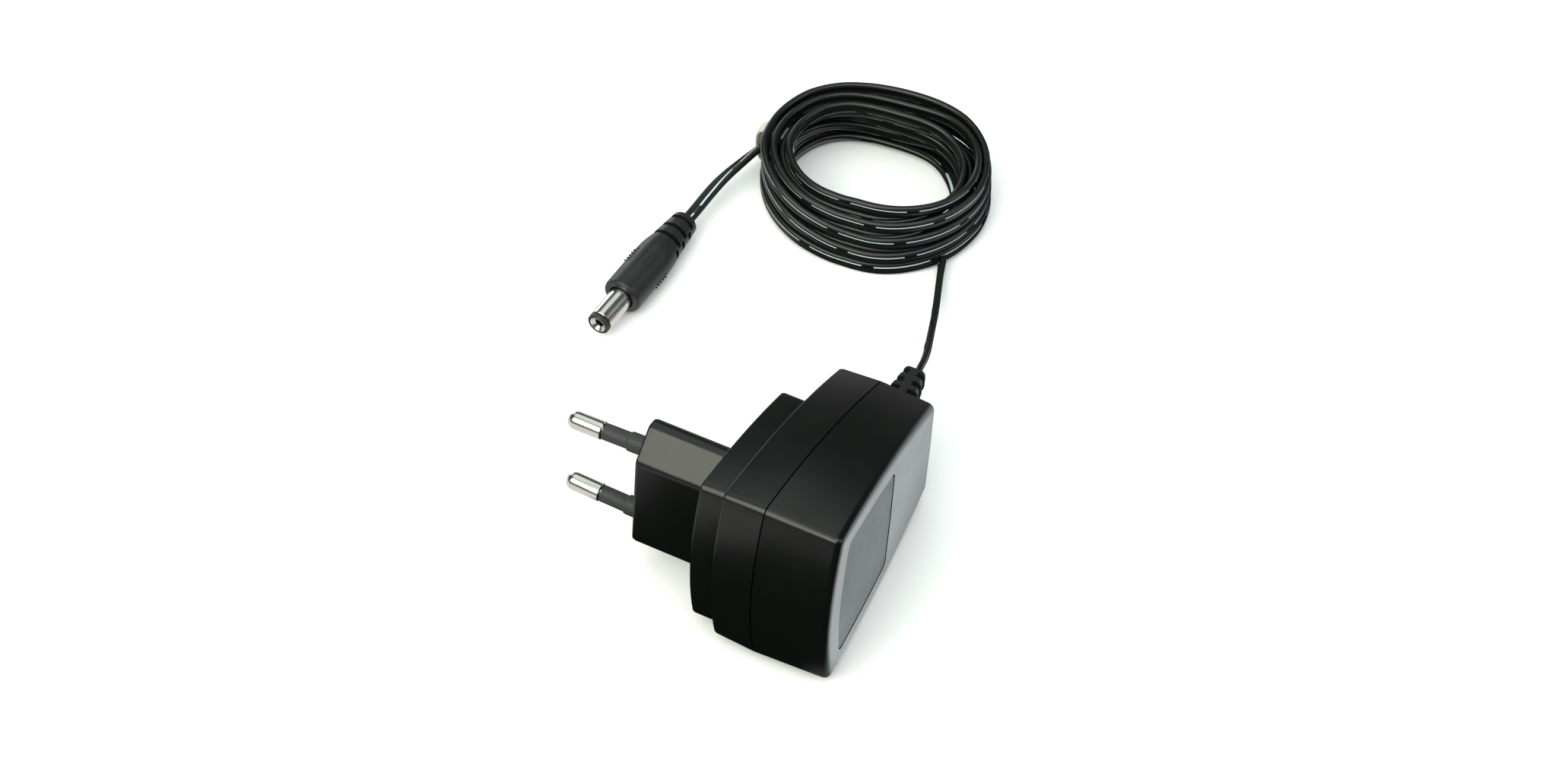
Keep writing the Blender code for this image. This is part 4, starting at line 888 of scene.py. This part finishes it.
def floor_material():
    """White paper to the eye; to reflected rays, painted reflections: two glowing patches beside a dark
    strip.
    """
    material = new_material("floor")
    white = node(material, "ShaderNodeBsdfDiffuse", Color=FLOOR_WHITE).outputs["BSDF"]
    # dark is a painted dark reflection beside the near walls; card and paper are glowing painted
    # reflections beside the label side and the pins, seen by reflected rays only
    dark = node(material, "ShaderNodeBsdfDiffuse", Color=PAINTED_DARK_REFLECTION).outputs["BSDF"]
    card = node(material, "ShaderNodeEmission", Color=LABEL_REFLECTION_GLOW, Strength=LABEL_REFLECTION_STRENGTH)
    paper = node(material, "ShaderNodeEmission", Color=PINS_REFLECTION_GLOW, Strength=PINS_REFLECTION_STRENGTH)
    place = node(material, "ShaderNodeTexCoord")
    split = node(material, "ShaderNodeSeparateXYZ")
    link(material, place, "Object", split, "Vector")
    beside_label = reckon(material, "MULTIPLY", edge_fade(material, split, "X", LABEL_REFLECTION_EDGE),
                          edge_fade(material, split, "Y", LABEL_REFLECTION_START))
    beside_pins = edge_fade(material, split, "X", PINS_REFLECTION_EDGE)
    mirrored = laid_over(material, beside_label, dark, card.outputs["Emission"])
    mirrored = laid_over(material, beside_pins, mirrored, paper.outputs["Emission"])
    path = node(material, "ShaderNodeLightPath")
    end = node(material, "ShaderNodeOutputMaterial")
    seen = laid_over(material, path.outputs["Is Glossy Ray"], white, mirrored)
    material.node_tree.links.new(seen, end.inputs["Surface"])
    return material


def add_floor():
    """A wide white floor with the contact shadow."""
    work = bmesh.new()
    bmesh.ops.create_grid(work, x_segments=1, y_segments=1, size=FLOOR_SIZE)
    mesh = bpy.data.meshes.new("floor")
    work.to_mesh(mesh)
    work.free()
    floor = bpy.data.objects.new("floor", mesh)
    bpy.context.collection.objects.link(floor)
    dress(floor, floor_material())
    print("floor:", 2 * FLOOR_SIZE, "m wide")


add_floor()

# %% [markdown]
# ## The lights
#
# A bare sun would give hard white dots on satin plastic, so each light is a soft panel. The key
# stands in the mirror direction of the boss's slanted face, which is the palest part of the
# housing in the photograph. A small dim panel over the back is mirrored in the upper walls and
# grades them, a low one at the far left picks out the edges there, and two more fill from above
# and from the right.

# %% Lights
AIM = (0, 0.03, 0)
UPPER_WALL = (0, -0.03, 0.04)
LOW_AIM = (0, 0.03, 0.02)

# Name, place, the point that it faces, width and height in metres, power in watts and colour
PANELS = (
    ("key", (-0.48, -1.02, 1.10), AIM, (1.3, 1.0), 19, (0.99, 1.0, 0.85)),
    ("top", (0.28, -0.36, 1.6), AIM, (1.2, 1.2), 10, (0.94, 0.98, 1.0)),
    ("side", (1.2, 0.3, 0.9), AIM, (0.8, 0.8), 4, (1, 1, 1)),
    ("sky", (-0.135, 0.150, 0.40), UPPER_WALL, (0.36, 0.36), 0.4, (0.86, 1.0, 0.92)),
    ("rim", (-1.15, 0.90, 0.20), LOW_AIM, (0.5, 0.24), 2.4, (1, 1, 1)))


def add_light(name, place, aim, size, power, colour):
    """A rectangular soft light at a place, turned towards a point."""
    data = bpy.data.lights.new(name, "AREA")
    data.shape = "RECTANGLE"
    data.size, data.size_y = size
    data.energy = power
    data.color = colour
    lamp = bpy.data.objects.new(name, data)
    bpy.context.collection.objects.link(lamp)
    way = Vector(aim) - Vector(place)
    turn = way.to_track_quat("-Z", "Y").to_matrix().to_4x4()
    lamp.matrix_world = Matrix.Translation(Vector(place)) @ turn


for panel in PANELS:
    add_light(*panel)
print("panels:", len(PANELS))

# %% [markdown]
# ## The surroundings
#
# The photograph's background is pure white, but a surrounding that bright all round would turn
# black plastic grey. A Light Path node tells which kind of ray asks, so the world can be three
# things at once: full white to look at, a little weaker as light, and very dim in reflections.

# %% World
WORLD_TINT = (0.93, 1.0, 0.96, 1)
WORLD_LIGHT = 0.75
WORLD_SHINE = 0.07


def add_world():
    """A white surrounding to look at, a weaker one as light, and a dim one in reflections."""
    world = bpy.data.worlds.new("world")
    bpy.context.scene.world = world
    world.use_nodes = True
    tree = world.node_tree
    surround = tree.nodes["Background"]
    surround.inputs["Color"].default_value = WORLD_TINT
    path = tree.nodes.new("ShaderNodeLightPath")
    seen = tree.nodes.new("ShaderNodeMapRange")
    seen.inputs["To Min"].default_value = WORLD_LIGHT
    shine = tree.nodes.new("ShaderNodeMapRange")
    shine.inputs["To Max"].default_value = WORLD_SHINE
    tree.links.new(path.outputs["Is Camera Ray"], seen.inputs["Value"])
    tree.links.new(path.outputs["Is Glossy Ray"], shine.inputs["Value"])
    tree.links.new(seen.outputs["Result"], shine.inputs["To Min"])
    tree.links.new(shine.outputs["Result"], surround.inputs["Strength"])


add_world()
bpy.context.scene.view_settings.view_transform = "Standard"
print("surrounding as light:", WORLD_LIGHT, "and in reflections:", WORLD_SHINE)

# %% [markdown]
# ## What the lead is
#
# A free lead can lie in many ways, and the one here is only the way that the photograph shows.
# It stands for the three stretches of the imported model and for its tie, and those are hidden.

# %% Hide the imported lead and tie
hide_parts("cord_lead", "cord_coil", "cord_tail")
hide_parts("cord_tie")
